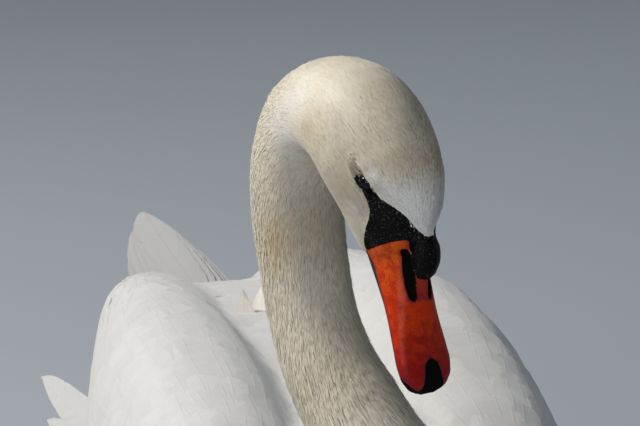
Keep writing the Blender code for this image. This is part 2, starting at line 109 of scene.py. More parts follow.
# Where the black skin of the lores ends, as (ahead, crown): above, towards the brow, and below.
BROW_EDGE = ((-0.0505, 0.0232), (-0.0466, 0.0254), (-0.0355, 0.0298), (-0.0256, 0.0345), (-0.0200, 0.0370))
CHEEK_EDGE = (
    (-0.0505, 0.0240), (-0.0374, 0.0236), (-0.0304, 0.0238), (-0.0250, 0.0222), (-0.0198, 0.0184),
    (-0.0139, 0.0122), (-0.0080, 0.0038), (0.0, -0.0028), (0.0100, -0.0090)
)
# The forehead's plumage is a wedge: where its point would be, how fast it widens, and where it is cut.
FOREHEAD_TIP = 0.0030
FOREHEAD_SPREAD = 0.78
FOREHEAD_END = -0.0004

# The eye's slit: how far it reaches along and across, as angles at the middle of the eyeball.
SLIT_ALONG = math.radians(60)
SLIT_ACROSS = math.radians(22)
# The skin round an eyeball: how far from its middle it moves, and how many widths of the slit out it
# sinks, and beyond that swells.
SOCKET_REACH = 0.016
SOCKET_SPREAD = 1.40
SWELL_SPREAD = 2.6

# The bill, in the head's frame: distance ahead of the gape, half width, culmen and cutting edge.
BILL_AT = (-0.0070, 0.0015, 0.0100, 0.0250, 0.0430, 0.0600, 0.0730, 0.0815, 0.0868, 0.0888)
BILL_HALF_WIDTH = (0.0172, 0.0169, 0.0171, 0.0170, 0.0175, 0.0189, 0.0192, 0.0162, 0.0098, 0.0034)
BILL_CULMEN = (0.0335, 0.0314, 0.0279, 0.0209, 0.0141, 0.0104, 0.0090, 0.0075, 0.0050, 0.0018)
BILL_EDGE = (0.0, 0.0, 0.0, 0.0, 0.0, 0.0, -0.0004, -0.0016, -0.0030, -0.0034)
BILL_ROWS = 110
BILL_COLUMNS = 72
BILL_UNDER = np.array([-0.86, -0.5, 0.0, 0.5, 0.86])
# How far the underside lies over the cutting edge; over what length the bill leaves the skin's line,
# how far past the skin it begins, and the most that its rear moves to meet it.
BILL_LIP = 0.0014
BILL_BLEND = 0.011
BILL_BITE = 0.0004
BILL_MOST_MOVE = 0.006
NAIL_RISE = 0.0004
NOSTRIL_DEPTH = 0.0022
# The height of the skull's axis over the gape, from which bill and face taper.
CORE_CROWN = 0.012
# Where the bill begins, as angle up its side in degrees and distance ahead of the gape.
BILL_REAR = ((0, -0.0036), (40, -0.0030), (55, -0.0018), (65, 0.0008), (75, 0.0030), (90, 0.0045))
LOWER_AT = (-0.0040, 0.0150, 0.0330, 0.0560, 0.0700, 0.0790, 0.0832)
LOWER_HALF_WIDTH = (0.0160, 0.0154, 0.0151, 0.0159, 0.0160, 0.0112, 0.0033)
LOWER_DEPTH = (0.0125, 0.0098, 0.0076, 0.0062, 0.0056, 0.0048, 0.0040)
LOWER_ROWS = 40
LOWER_COLUMNS = 48
# The nostril's slot: distance ahead, its middle's height and its half height.
NOSTRIL_AT = (0.0022, 0.0034, 0.0095, 0.0160, 0.0240, 0.0325, 0.0352)
NOSTRIL_MIDDLE = (0.0241, 0.0239, 0.0221, 0.0200, 0.0178, 0.0161, 0.0157)
NOSTRIL_HALF = (0.0, 0.0020, 0.0029, 0.0029, 0.0022, 0.0011, 0.0)
# Above this line the black skin of the knob reaches onto the bill, as (ahead, crown).
KNOB_EDGE = (
    (-0.0060, 0.0292), (0.0004, 0.0286), (0.0030, 0.0272), (0.0060, 0.0264), (0.0152, 0.0231),
    (0.0185, 0.0228)
)
KNOB_LINE_END = 0.0180
NAIL_AT = (0.0685, 0.0720, 0.0760, 0.0800, 0.0850, 0.0900)
NAIL_HALF_WIDTH = (0.0, 0.0046, 0.0057, 0.0064, 0.0078, 0.0106)


# ---- numbers and frames


def ease(value, low, high):
    """0 below low, 1 above high, and smooth between."""
    t = np.clip((value - low) / (high - low), 0, 1)
    return t * t * (3 - 2 * t)


def unit(vectors):
    return vectors / np.maximum(np.linalg.norm(vectors, axis=-1, keepdims=True), 1e-12)


def through(stations, values, at):
    """The smooth curve through values at the stations, read at each of `at`."""
    s = np.asarray(stations, float)
    v = np.asarray(values, float)
    slope = np.gradient(v, s, axis=0)
    span = np.clip(np.searchsorted(s, at, side="right") - 1, 0, len(s) - 2)
    width = s[span + 1] - s[span]
    t = (np.asarray(at, float) - s[span]) / width
    shape = t.shape + (1,) * (v.ndim - 1)
    t, width = t.reshape(shape), width.reshape(shape)
    start = (1 + 2 * t) * (1 - t) ** 2 * v[span] + t * (1 - t) ** 2 * width * slope[span]
    end = t * t * (3 - 2 * t) * v[span + 1] - t * t * (1 - t) * width * slope[span + 1]
    return start + end


def edge_at(edge, ahead):
    """The crown coordinate of an edge given as (ahead, crown) pairs."""
    pairs = np.array(edge)
    return np.interp(ahead, pairs[:, 0], pairs[:, 1])


TURNED = np.array([math.sin(HEAD_TURN), -math.cos(HEAD_TURN), 0])
AHEAD = TURNED * math.cos(BILL_DOWN) - np.array([0, 0, math.sin(BILL_DOWN)])
CROWNWARD = TURNED * math.sin(BILL_DOWN) + np.array([0, 0, math.cos(BILL_DOWN)])
RIGHTWARD = np.cross(AHEAD, CROWNWARD)
HEAD_AXES = np.array([RIGHTWARD, AHEAD, CROWNWARD])
EYES_MIDDLE = np.mean([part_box("eye_right"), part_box("eye_left")], axis=(0, 1))
HEAD_AT = EYES_MIDDLE - AHEAD * EYE_AT[1] - CROWNWARD * EYE_AT[2]


def to_head(points):
    return (points - HEAD_AT) @ HEAD_AXES.T


def from_head(coords):
    return HEAD_AT + np.asarray(coords, float) @ HEAD_AXES


# ---- meshes


def read_all(items, field, width, kind=np.float32):
    """A field of all of a mesh's vertices, edges or triangles, with a row for each."""
    found = np.empty(len(items) * width, kind)
    items.foreach_get(field, found)
    return found.reshape(-1, width)


def points_of(mesh):
    return read_all(mesh.vertices, "co", 3).astype(float)


def normals_of(mesh):
    return read_all(mesh.vertices, "normal", 3).astype(float)


def edges_of(mesh):
    return read_all(mesh.edges, "vertices", 2, np.int32)


def move_points(mesh, points):
    mesh.vertices.foreach_set("co", np.ascontiguousarray(points, np.float32).ravel())
    mesh.update()


@contextmanager
def editing(mesh):
    """Opens a mesh for editing, and writes it back."""
    shape = bmesh.new()
    shape.from_mesh(mesh)
    yield shape
    shape.to_mesh(mesh)
    shape.free()


def average_near(values, edges, weight):
    """Each vertex's value moved towards the mean of its neighbours' by the given weight."""
    count = len(values)
    degree = np.bincount(edges.ravel(), minlength=count)[:, None]
    total = np.empty_like(values)
    for k in range(values.shape[1]):
        total[:, k] = np.bincount(edges[:, 0], values[edges[:, 1], k], count)
        total[:, k] += np.bincount(edges[:, 1], values[edges[:, 0], k], count)
    return values + (total / np.maximum(degree, 1) - values) * weight


def mesh_from(name, points, faces):
    mesh = bpy.data.meshes.new(name)
    mesh.from_pydata(np.asarray(points, np.float32), [], faces)
    mesh.shade_smooth()
    return mesh


def grid_faces(rows, columns):
    """Quads over a grid of points."""
    index = np.arange(rows * columns).reshape(rows, columns)
    near, far = index[:, :-1], index[:, 1:]
    return np.stack([near[:-1], far[:-1], far[1:], near[1:]], -1).reshape(-1, 4)


def ring_faces(rows, columns):
    """Quads between successive closed rings, and a cap on the last."""
    near = np.arange(rows * columns).reshape(rows, columns)
    far = np.roll(near, -1, axis=1)
    quads = np.stack([near[:-1], far[:-1], far[1:], near[1:]], -1).reshape(-1, 4)
    return [*quads.tolist(), near[-1].tolist()]


def facing_out(mesh):
    with editing(mesh) as shape:
        bmesh.ops.recalc_face_normals(shape, faces=shape.faces)
    return mesh


def add_values(mesh, name, values):
    """A named attribute on the points: one number or three for each."""
    kind, field = ("FLOAT", "value") if np.ndim(values) == 1 else ("FLOAT_VECTOR", "vector")
    values = np.ascontiguousarray(values, np.float32).ravel()
    mesh.attributes.new(name, kind, "POINT").data.foreach_set(field, values)


def lean_normals(mesh, normals, share):
    """Shades a tuft partly as the skin under it, as soft down does."""
    mesh.normals_split_custom_set_from_vertices(unit(normals_of(mesh) * (1 - share) + normals * share))


def placed(name, data):
    """A new object in the scene."""
    obj = bpy.data.objects.new(name, data)
    bpy.context.scene.collection.objects.link(obj)
    return obj


def show(name, mesh, paint, slot, *nodes):
    """A piece that rides on the body and stands for the given nodes of the frame."""
    obj = placed(name, mesh)
    mesh.materials.append(paint)
    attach(obj, "root")
    if nodes:
        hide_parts(*nodes)


# ---- the spine


def make_spine():
    """Samples along the spine: place, heading away from the bill, dorsal side and girth."""
    head_end = [from_head((0, ahead, crown)) for ahead, crown in HEAD_SPINE]
    knots = np.array([*head_end, *NECK_SPINE])
    reach = np.concatenate([[0], np.cumsum(np.linalg.norm(np.diff(knots, axis=0), axis=1))])
    at = np.arange(0, reach[-1], SPINE_STEP)
    points = through(reach, knots, at)
    heading = unit(np.gradient(points, axis=0))
    dorsal = []
    crown = CROWNWARD
    for direction in heading:
        crown = unit(crown - direction * (crown @ direction))
        dorsal.append(crown)
    return at, points, heading, np.array(dorsal), np.interp(at, SPINE_GIRTH_AT, SPINE_GIRTH)


def along_spine(points):
    """For each point: distance from the bill along the spine, angle round it, and the heading."""
    at, middles, heading, dorsal, girth = make_spine()
    nearest = np.empty(len(points), int)
    for start in range(0, len(points), SPINE_BATCH):
        batch = slice(start, start + SPINE_BATCH)
        away = np.linalg.norm(points[batch, None] - middles[None], axis=2) / girth
        nearest[batch] = away.argmin(1)
    out = points - middles[nearest]
    side = np.cross(heading[nearest], dorsal[nearest])
    angle = np.arctan2((out * side).sum(1), (out * dorsal[nearest]).sum(1))
    distance = at[nearest] + (out * heading[nearest]).sum(1)
    return distance, angle, heading[nearest]


def coat_depth(distance):
    return np.interp(distance, COAT_DEPTH_AT, COAT_DEPTH)


def bare_reach(coords):
    """How far a point of the head lies inside the outline of the black skin; below 0, outside."""
    right, ahead, crown = np.abs(coords[:, 0]), coords[:, 1], coords[:, 2]
    above_brow = edge_at(BROW_EDGE, ahead) - crown
    beside_forehead = np.maximum(right - FOREHEAD_SPREAD * (FOREHEAD_TIP - ahead), ahead - FOREHEAD_END)
    in_front = ease(ahead, -0.033, -0.022)
    upper = beside_forehead * in_front + above_brow * (1 - in_front)
    lores = np.minimum(upper, crown - edge_at(CHEEK_EDGE, ahead))
    along = ahead - EYE_AT[1] - 0.0005
    across = crown - EYE_AT[2] - 0.0009 - (ahead - EYE_AT[1]) * 0.25
    eye = (1 - np.hypot(along / 0.0082, across / 0.0038)) * 0.0030
    near_head = (right < 0.05) & (ahead > -0.06) & (crown > -0.03) & (crown < 0.06)
    return np.where(near_head, np.maximum(lores, eye), -1.0)


# ---- the skin


def joined_flesh():
    """The nodes of flesh, swollen until they touch and remeshed into one."""
    mesh = bpy.data.meshes.new("flesh")
    with editing(mesh) as shape:
        for name in FLESH:
            shape.from_mesh(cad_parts[name].data)
    move_points(mesh, points_of(mesh) + normals_of(mesh) * FLESH_SWELL)
    obj = placed("flesh", mesh)
    step = obj.modifiers.new("remesh", "REMESH")
    step.mode = "VOXEL"
    step.voxel_size = SKIN_VOXEL
    made = bpy.data.meshes.new_from_object(obj.evaluated_get(bpy.context.evaluated_depsgraph_get()))
    bpy.data.objects.remove(obj)
    return made


def keep_largest(shape):
    """Deletes all but the body with the most vertices."""
    left = set(shape.verts)
    bodies = []
    while left:
        body, edge = [], [left.pop()]
        while edge:
            vertex = edge.pop()
            body.append(vertex)
            for link in vertex.link_edges:
                other = link.other_vert(vertex)
                if other in left:
                    left.remove(other)
                    edge.append(other)
        bodies.append(body)
    bodies.sort(key=len)
    for crumb in bodies[:-1]:
        bmesh.ops.delete(shape, geom=crumb, context="VERTS")


def refine(mesh, inside):
    """Divides the faces whose points all lie inside, in the head's frame."""
    with editing(mesh) as shape:
        keep_largest(shape)
        chosen = inside(to_head(np.array([v.co for v in shape.verts])))
        edges = [e for e in shape.edges if chosen[e.verts[0].index] and chosen[e.verts[1].index]]
        bmesh.ops.subdivide_edges(shape, edges=edges, cuts=1, use_grid_fill=True)
        bmesh.ops.triangulate(shape, faces=[f for f in shape.faces if len(f.verts) > 4])


def near_whole_head(coords):
    right, ahead, crown = coords.T
    return (np.abs(ahead + 0.025) < 0.060) & (np.abs(right) < 0.05) & (np.abs(crown) < 0.07)


def near_face(coords):
    return near_whole_head(coords) & (coords[:, 1] > -0.060) & (coords[:, 2] > -0.02)


def near_eyes(coords):
    away = np.column_stack([np.abs(coords[:, 0]), coords[:, 1:]]) - EYE_AT
    return np.linalg.norm(away, axis=1) < 0.013


def smoothed(mesh, rounds):
    """The mesh's points, smoothed in rounds that shrink it and swell it again."""
    points, edges = points_of(mesh), edges_of(mesh)
    for _ in range(rounds):
        points = average_near(points, edges, 0.6)
        points = average_near(points, edges, -0.5)
    return points


def eye_axes(side):
    """The directions out of the eye, forward along its slit, and across it, in the head's frame."""
    out = unit(np.array([0.94, 0.10, 0.30]))
    along = np.array([-0.228, 0.944, 0.236])
    along = unit(along - out * (along @ out))
    flip = np.array([side, 1, 1])
    return out * flip, along * flip, np.cross(out, along) * flip


def eye_way(side, tilt, turn):
    """Directions from the eyeball's middle: tilted from the way it looks, and turned round it."""
    out, along, across = eye_axes(side)
    sideways = np.cos(turn)[..., None] * along + np.sin(turn)[..., None] * across
    return np.cos(tilt)[..., None] * out + np.sin(tilt)[..., None] * sideways


def slit_narrowness(turn):
    """One over the tilt at which the slit's rim lies."""
    return np.hypot(np.cos(turn) / SLIT_ALONG, np.sin(turn) / SLIT_ACROSS)


def slit_spread(way, side):
    """How far a direction from the eyeball's middle lies from the slit's middle: 1 on its rim."""
    z, x, y = (way @ axis for axis in eye_axes(side))
    return np.arccos(np.clip(z, -1, 1)) * slit_narrowness(np.arctan2(y, x))


def sink_eyes(coords):
    """Makes room for the eyeballs, and lets the skin swell around them."""
    for side in (1, -1):
        centre = EYE_AT * (side, 1, 1)
        away = coords - centre
        radius = np.linalg.norm(away, axis=1)
        way = unit(away)
        spread = slit_spread(way, side)
        near = radius < SOCKET_REACH
        within = near & (spread < SOCKET_SPREAD)
        around = near & (spread >= SOCKET_SPREAD) & (spread < SWELL_SPREAD)
        least = EYE_RADIUS * (1.10 - 0.12 * ease(spread, 1.5, SWELL_SPREAD))
        sunk = np.where(within, np.minimum(radius, EYE_RADIUS * 0.88), radius)
        sunk = np.where(around, np.maximum(sunk, least), sunk)
        coords = np.where((within | around)[:, None], centre + way * sunk[:, None], coords)
    return coords


LID_SPREAD = (0.86, 0.94, 1.06, 1.24, 1.44, 1.75)
LID_RADIUS = (1.00, 1.060, 1.115, 1.125, 1.11, 1.00)
LID_COUNT = 40


def lid_rings(side):
    """The lids around one eye, as rings from the slit's rim outward, in the head's frame."""
    turn = np.linspace(0, 2 * np.pi, LID_COUNT, endpoint=False)
    rim = 1 / slit_narrowness(turn)
    return [EYE_AT * (side, 1, 1) + eye_way(side, rim * reach, turn) * EYE_RADIUS * radius
            for reach, radius in zip(LID_SPREAD, LID_RADIUS)]


def add_lids(mesh):
    """Joins the lids to the skin."""
    with editing(mesh) as shape:
        for side in (1, -1):
            rows = [[shape.verts.new(p) for p in from_head(ring)] for ring in lid_rings(side)]
            for near, far in zip(rows, rows[1:]):
                for i in range(LID_COUNT):
                    j = (i + 1) % LID_COUNT
                    corners = (near[i], near[j], far[j], far[i])
                    shape.faces.new(corners if side > 0 else corners[::-1])


def mound(ahead, crown, at, reach):
    """1 at a place on the side of the head, and falling off around it."""
    return np.exp(-(((ahead - at[0]) / reach[0]) ** 2) - (((crown - at[1]) / reach[1]) ** 2))


def shape_face(coords):
    """The folds of the face: the hollow of the lores, the brow over the eye and the crease behind it."""
    right, ahead, crown = np.abs(coords[:, 0]), coords[:, 1], coords[:, 2]
    lores = mound(ahead, crown, (-0.020, 0.022), (0.011, 0.007))
    brow = mound(ahead, crown, (-0.043, 0.0315 + (ahead + 0.041) * 0.28), (0.013, 0.0045))
    cheek = mound(ahead, crown, (-0.047, 0.006), (0.018, 0.012))
    crease = ease(-ahead, 0.048, 0.056) * (1 - ease(-ahead, 0.080, 0.100))
    crease = crease * np.exp(-(((crown - (0.0235 + (ahead + 0.054) * 0.10)) / 0.0055) ** 2))
    beside_bill = ease(bare_reach(coords), 0.0, 0.003) * ease(ahead, -0.022, -0.006)
    swell = -0.0016 * lores + 0.0014 * brow - 0.0010 * crease + 0.0010 * cheek - 0.0022 * beside_bill
    moved = coords.copy()
    moved[:, 0] += np.sign(coords[:, 0]) * swell * (right > 0.008)
    low = 1 - ease(np.arctan2(crown - CORE_CROWN, right), math.radians(50), math.radians(66))
    taper = 1 - 0.25 * ease(ahead, -0.0030, 0.0008) * low
    moved[:, 0] *= taper
    moved[:, 2] = CORE_CROWN + (moved[:, 2] - CORE_CROWN) * taper
    return moved


def make_skin():
    """The swan's skin: the flesh made finer on the head, sunk by the coat's depth, with its lids."""
    mesh = joined_flesh()
    for inside in (near_whole_head, near_face, near_eyes):
        refine(mesh, inside)
        move_points(mesh, smoothed(mesh, SMOOTHING_ROUNDS))
    points, normals = points_of(mesh), normals_of(mesh)
    distance = along_spine(points)[0]
    bare = bare_reach(to_head(points))
    depth = coat_depth(distance)
    depth = BARE_DEPTH + (depth - BARE_DEPTH) * (1 - ease(bare, -0.0025, 0.0003))
    neck_base = ease(distance, 0.325, 0.385) * (1 - ease(distance, 0.42, 0.52))
    depth += NECK_BASE_HOLLOW * neck_base * np.maximum(normals[:, 0], 0)
    points = points - normals * depth[:, None]
    coords = to_head(points)
    near = near_whole_head(coords)
    points[near] = from_head(sink_eyes(shape_face(coords[near])))
    points[:, 2] -= ARCH_DROP * ease(points[:, 2], 0.545, 0.583)
    move_points(mesh, points)
    add_lids(mesh)
    mesh.shade_smooth()
    return mesh


COMB_ROUNDS = 40
Roots = namedtuple("Roots", "place normal lie distance angle bare")


class Skin:
    """The skin's points, normals and lie of the coat, with a tree to find the nearest place on it."""

    def __init__(self, mesh):
        mesh.calc_loop_triangles()
        self.faces = read_all(mesh.loop_triangles, "vertices", 3, np.int32)
        self.points = points_of(mesh)
        self.normals = normals_of(mesh)
        self.distance, self.angle, heading = along_spine(self.points)
        self.lie = self.comb(mesh, heading)
        self.bare = bare_reach(to_head(self.points))
        self.tree = BVHTree.FromPolygons(self.points.tolist(), self.faces.tolist())

    def comb(self, mesh, heading):
        """The lie of the coat: away from the bill along the spine, smooth over the surface."""
        edges = edges_of(mesh)
        lie = heading
        for _ in range(COMB_ROUNDS):
            lie = average_near(lie, edges, 0.8)
            lie = unit(lie - self.normals * (lie * self.normals).sum(1)[:, None])
        return lie

    def scatter(self, density, rng):
        """Random places on the skin: density gives how many for each square metre at each vertex."""
        a, b, c = (self.points[self.faces[:, k]] for k in range(3))
        area = np.linalg.norm(np.cross(b - a, c - a), axis=1) / 2
        wanted = area * density[self.faces].mean(1)
        counts = np.floor(wanted + rng.random(len(wanted))).astype(int)
        face = np.repeat(np.arange(len(wanted)), counts)
        share = rng.random((len(face), 2))
        fold = share.sum(1) > 1
        share[fold] = 1 - share[fold]
        weights = np.stack([1 - share.sum(1), share[:, 0], share[:, 1]], 1)
        return face, weights

    def read(self, values, face, weights):
        corners = values[self.faces[face]]
        if values.ndim == 1:
            return (corners * weights).sum(1)
        return (corners * weights[:, :, None]).sum(1)

    def roots(self, face, weights):
        """The skin at places on it, as scatter gives them."""
        known = (self.points, self.normals, self.lie, self.distance, self.bare)
        place, normal, lie, distance, bare = (self.read(values, face, weights) for values in known)
        return Roots(place, unit(normal), unit(lie), distance, self.angle[self.faces[face, 0]], bare)


# ---- colour

# The body's white is set darker than the head's cream: painted shade, for the body lies more in shade.
BODY = np.array([0.585, 0.58, 0.575])
WHITE = np.array([0.76, 0.75, 0.73])
CREAM = np.array([0.64, 0.585, 0.48])
# A brown for painted shade on the head and neck, where they lie in shade.
PAINTED_SHADE = np.array([0.33, 0.285, 0.21])
OCHRE = np.array([0.46, 0.33, 0.17])
RUST = np.array([0.42, 0.20, 0.12])
SNOW = np.array([0.90, 0.90, 0.90])

# Patches of colour on the head and neck, in the head's frame, on both sides: place, reach, colour and
# strength. The first five are painted shade on the crown, the cheek and the neck below the head; the
# next two lighten the nape, white plumage there with a painted highlight where it faces the key light.
PATCHES = (
    # Painted shade on the crown, the cheek and the neck.
    ((0.0090, -0.075, 0.044), 0.034, PAINTED_SHADE, 0.35),
    ((0.0325, -0.040, 0.0115), 0.024, PAINTED_SHADE, 0.80),
    ((0.0050, -0.050, -0.0750), 0.030, PAINTED_SHADE, 0.50),
    ((0.0080, 0.0417, -0.0869), 0.035, PAINTED_SHADE, 0.25),
    ((0.0023, 0.0787, -0.0676), 0.035, PAINTED_SHADE, 0.20),
    # Lighter nape: white plumage with a painted highlight where the key light falls.
    ((0.0270, -0.100, -0.0160), 0.018, WHITE, 0.50),
    ((0.0214, -0.090, -0.0420), 0.015, WHITE, 0.60),
    ((0.0135, -0.045, -0.0890), 0.013, OCHRE, 0.60),
    ((0.0145, -0.032, -0.0960), 0.012, OCHRE, 0.40),
    ((0.0320, -0.078, -0.0070), 0.013, OCHRE, 0.45),
    ((0.0135, -0.038, 0.0477), 0.013, OCHRE, 0.36),
    ((0.0, -0.010, 0.0360), 0.018, SNOW, 0.97),
    ((0.0110, -0.021, 0.0430), 0.012, SNOW, 0.70),
    ((0.0200, -0.030, 0.0360), 0.007, SNOW, 0.45),
    ((0.0262, -0.0405, 0.0335), 0.004, SNOW, 0.55),
    ((0.0260, -0.024, 0.0120), 0.008, WHITE, 0.20),
    ((0.0, -0.0412, 0.0527), 0.0035, RUST, 0.45),
)


def soft_noise(points, scale, seed):
    """A smooth random value from -1 to 1 at each point: a few crossed waves."""
    rng = np.random.default_rng(seed)
    value = np.zeros(len(points))
    for _ in range(7):
        way = unit(rng.normal(size=3)) / scale * rng.uniform(0.6, 1.5)
        value += np.sin(points @ way * 2 * math.pi + rng.uniform(0, 2 * math.pi))
    return np.clip(value / 4, -1, 1)


def plumage(points, distance):
    """The colour of the plumage, the same for skin and coat."""
    cream = 1 - ease(distance, 0.30, 0.44)
    colour = BODY + (CREAM - BODY) * cream[:, None]
    stain = ease(soft_noise(points * (1, 1, 0.5), 0.055, 3), 0.05, 0.9) * cream * 0.22
    colour += (OCHRE - colour) * stain[:, None]
    coords = to_head(points)
    coords[:, 0] = np.abs(coords[:, 0])
    for place, reach, patch, strength in PATCHES:
        near = np.exp(-(np.linalg.norm(coords - place, axis=1) / reach) ** 2) * strength
        colour += (patch - colour) * near[:, None]
    return colour


# ---- materials


class Paint:
    """A procedural material: a Principled shader, and the nodes that feed it."""

    def __init__(self, name, roughness, specular, sheen=(0.0, 0.5)):
        self.material = bpy.data.materials.new(name)
        self.material.use_nodes = True
        self.tree = self.material.node_tree
        self.inputs = self.tree.nodes["Principled BSDF"].inputs
        self.feed("Roughness", roughness)
        self.feed("Specular IOR Level", specular)
        self.feed("Sheen Weight", sheen[0])
        self.feed("Sheen Roughness", sheen[1])

    def plug(self, socket, value):
        if isinstance(value, bpy.types.NodeSocket):
            self.tree.links.new(value, socket)
        else:
            socket.default_value = (*value, 1) if isinstance(value, tuple) else value

    def feed(self, name, value):
        """Gives one of the shader's sockets a value or a node's output."""
        self.plug(self.inputs[name], value)

    def node(self, kind, output, inputs, **settings):
        """Adds a node, fills its sockets and returns one of its outputs."""
        made = self.tree.nodes.new("ShaderNode" + kind)
        for name, value in settings.items():
            setattr(made, name, value)
        for key, value in inputs.items():
            self.plug(made.inputs[key], value)
        return made.outputs[output]

    def attribute(self, name, output="Fac"):
        return self.node("Attribute", output, {}, attribute_name=name)

    def part(self, vector, axis):
        return self.node("SeparateXYZ", axis, {"Vector": vector})

    def noise(self, scale, detail=3.0):
        place = self.node("TexCoord", "Object", {})
        return self.node("TexNoise", "Fac", {"Vector": place, "Scale": scale, "Detail": detail})

    def cells(self, scale):
        place = self.node("TexCoord", "Object", {})
        return self.node("TexVoronoi", "Distance", {"Vector": place, "Scale": scale})

    def math(self, operation, *values):
        return self.node("Math", "Value", dict(enumerate(values)), operation=operation)

    def plus(self, first, second, share):
        return self.math("ADD", first, self.math("MULTIPLY", second, share))

    def stirred(self, value, fine, amount):
        """The value, moved up and down by a noise."""
        return self.plus(value, self.math("SUBTRACT", fine, 0.5), amount)

    def spread(self, value, low, high, to_low=0.0, to_high=1.0):
        """to_low where the value is at low, to_high at high, and smooth between."""
        sockets = {"Value": value, "From Min": low, "From Max": high, "To Min": to_low, "To Max": to_high}
        return self.node("MapRange", "Result", sockets, interpolation_type="SMOOTHSTEP")

    def blend(self, share, first, second):
        """Mixes two colours, which are sockets 6 and 7 of the node; its third output is the colour."""
        return self.node("Mix", 2, {0: share, 6: first, 7: second}, data_type="RGBA")

    def bump(self, height, distance, strength):
        sockets = {"Height": height, "Distance": distance, "Strength": strength}
        self.feed("Normal", self.node("Bump", "Normal", sockets))


def paint_strands():
    paint = Paint("fine_plumage", 0.55, 0.4, sheen=(0.15, 0.4))
    tint = paint.attribute("coat", "Vector")
    darker = paint.blend(0.13, tint, (0.42, 0.36, 0.26))
    paint.feed("Base Color", paint.blend(paint.spread(paint.noise(900.0), 0.35, 0.65), darker, tint))
    return paint.material


def paint_vanes():
    """The coat's colour, with fine barbs slanting out from a shaft."""
    paint = Paint("vane_plumage", 0.60, 0.3, sheen=(0.2, 0.5))
    vane = paint.attribute("vane", "Vector")
    across = paint.math("ABSOLUTE", paint.part(vane, "X"))
    slant = paint.math("SUBTRACT", paint.part(vane, "Y"), across)
    barbs = paint.math("SINE", paint.math("MULTIPLY", slant, 5200.0))
    shaft = paint.spread(across, 0.0003, 0.0009, 1.0, 0.0)
    paint.feed("Base Color", paint.attribute("coat", "Vector"))
    paint.bump(paint.plus(paint.math("MULTIPLY", barbs, 0.18), shaft, 0.4), 0.0003, 0.5)
    return paint.material


def paint_skin():
    """Plumage colour under the coat, and wrinkled black skin on the lores and knob."""
    paint = Paint("skin", 0.5, 0.08)
    bare, fine = paint.attribute("bare"), paint.noise(1500.0, 4.0)
    black = paint.spread(paint.stirred(bare, fine, 0.0012), -0.0002, 0.0002)
    inner = paint.spread(bare, 0.0005, 0.0060, 1.0, 0.45)
    dust = paint.math("MULTIPLY", paint.spread(paint.noise(850.0, 2.0), 0.58, 0.72), inner)
    dusty = paint.blend(dust, (0.0022, 0.0020, 0.0020), (0.11, 0.107, 0.104))
    paint.feed("Base Color", paint.blend(black, paint.attribute("coat", "Vector"), dusty))
    paint.feed("Roughness", paint.spread(black, 0.0, 1.0, 0.8, 0.42))
    wrinkles = paint.plus(paint.cells(900.0), fine, 0.5)
    paint.bump(paint.math("MULTIPLY", wrinkles, black), 0.0004, 0.8)
    return paint.material


# ---- the coat


def march(skin, root, way, length, heights):
    """Points and normals along a path over the skin, at the given heights above it."""
    place, step = Vector(root), length / (len(heights) - 1)
    way = Vector(way)
    found = []
    for height in heights:
        hit, normal, _, _ = skin.tree.find_nearest(place)
        found.append((*(hit + normal * height), *normal))
        way = (way - normal * way.dot(normal)).normalized()
        place = hit + normal * height + way * step
    return found


def unwrap(distance, angle):
    """Each root's place on an unwrap of the skin: angle round the spine, and distance along it."""
    flat = np.stack([angle / (2 * math.pi), distance], 1)
    low, high = flat.min(0), flat.max(0)
    return 0.02 + 0.96 * (flat - low) / (high - low)


TUFT_PATCH = 0.003


def joined_tufts(name, points, quads, place, home, values):
    """One mesh from many alike tufts: points is (count, points of one, 3).

    Each tuft takes a small patch of the map, where `place` lays its points from -0.5 to 0.5.
    """
    count, size, _ = points.shape
    faces = (quads[None] + (np.arange(count) * size)[:, None, None]).reshape(-1, 4)
    mesh = mesh_from(name, points.reshape(-1, 3), faces.tolist())
    flat = (home[:, None] + place[None] * TUFT_PATCH).reshape(-1, 2)
    layer = mesh.uv_layers.new(name="OFBake")
    layer.data.foreach_set("uv", flat[faces.ravel()].astype(np.float32).ravel())
    for key, value in values.items():
        add_values(mesh, key, np.broadcast_to(value, points.shape).reshape(-1, 3))
    return mesh


# The strands: places along the spine, and the length and width there.
STRAND_AT = (0.0, 0.03, 0.09, 0.16, 0.34, 0.45)
STRAND_LENGTH = (0.0026, 0.0044, 0.0095, 0.0140, 0.0190, 0.0240)
STRAND_WIDTH = (0.00045, 0.0006, 0.0008, 0.0010, 0.0012, 0.0015)
STRAND_ROWS = 4
STRAND_OUTLINE = np.array([0.55, 1.0, 0.75, 0.06])
# Painted shade along each strand: darker at the root, where the coat shades it, lighter at the tip.
STRAND_PAINTED_SHADE = np.array([0.93, 0.98, 1.01, 1.03])
TUFT_SHARE = 0.16
TUFT_AT = (0.05, 0.10, 0.20, 0.30)
TUFT_PULL = (0.40, 0.55, 0.34, 0.26)


def gathered(path, root, most, rng):
    """Draws the strands' tips towards the nearest leading one, so that they end in pointed tufts."""
    leaders = rng.permutation(len(root))[:max(1, int(len(root) * TUFT_SHARE))]
    near = KDTree(len(leaders))
    for i in leaders:
        near.insert(root[i], i)
    near.balance()
    leading = np.array([near.find(place)[1] for place in root])
    pull = most[:, None] * np.linspace(0, 1, path.shape[1]) ** 1.4
    return path + (path[leading] - path) * pull[..., None]


SWAY = 0.16
# Stray strands: their share, how much higher they stand, and where along the spine they begin.
STRAY_SHARE = 0.05
STRAY_RISE = 1.5
STRAY_FROM = 0.09
# How much of a tuft's shading comes from the skin under it, and the coat's lightest colour.
STRAND_LEAN = 0.92
VANE_LEAN = 0.95
BRIGHTEST = 0.9


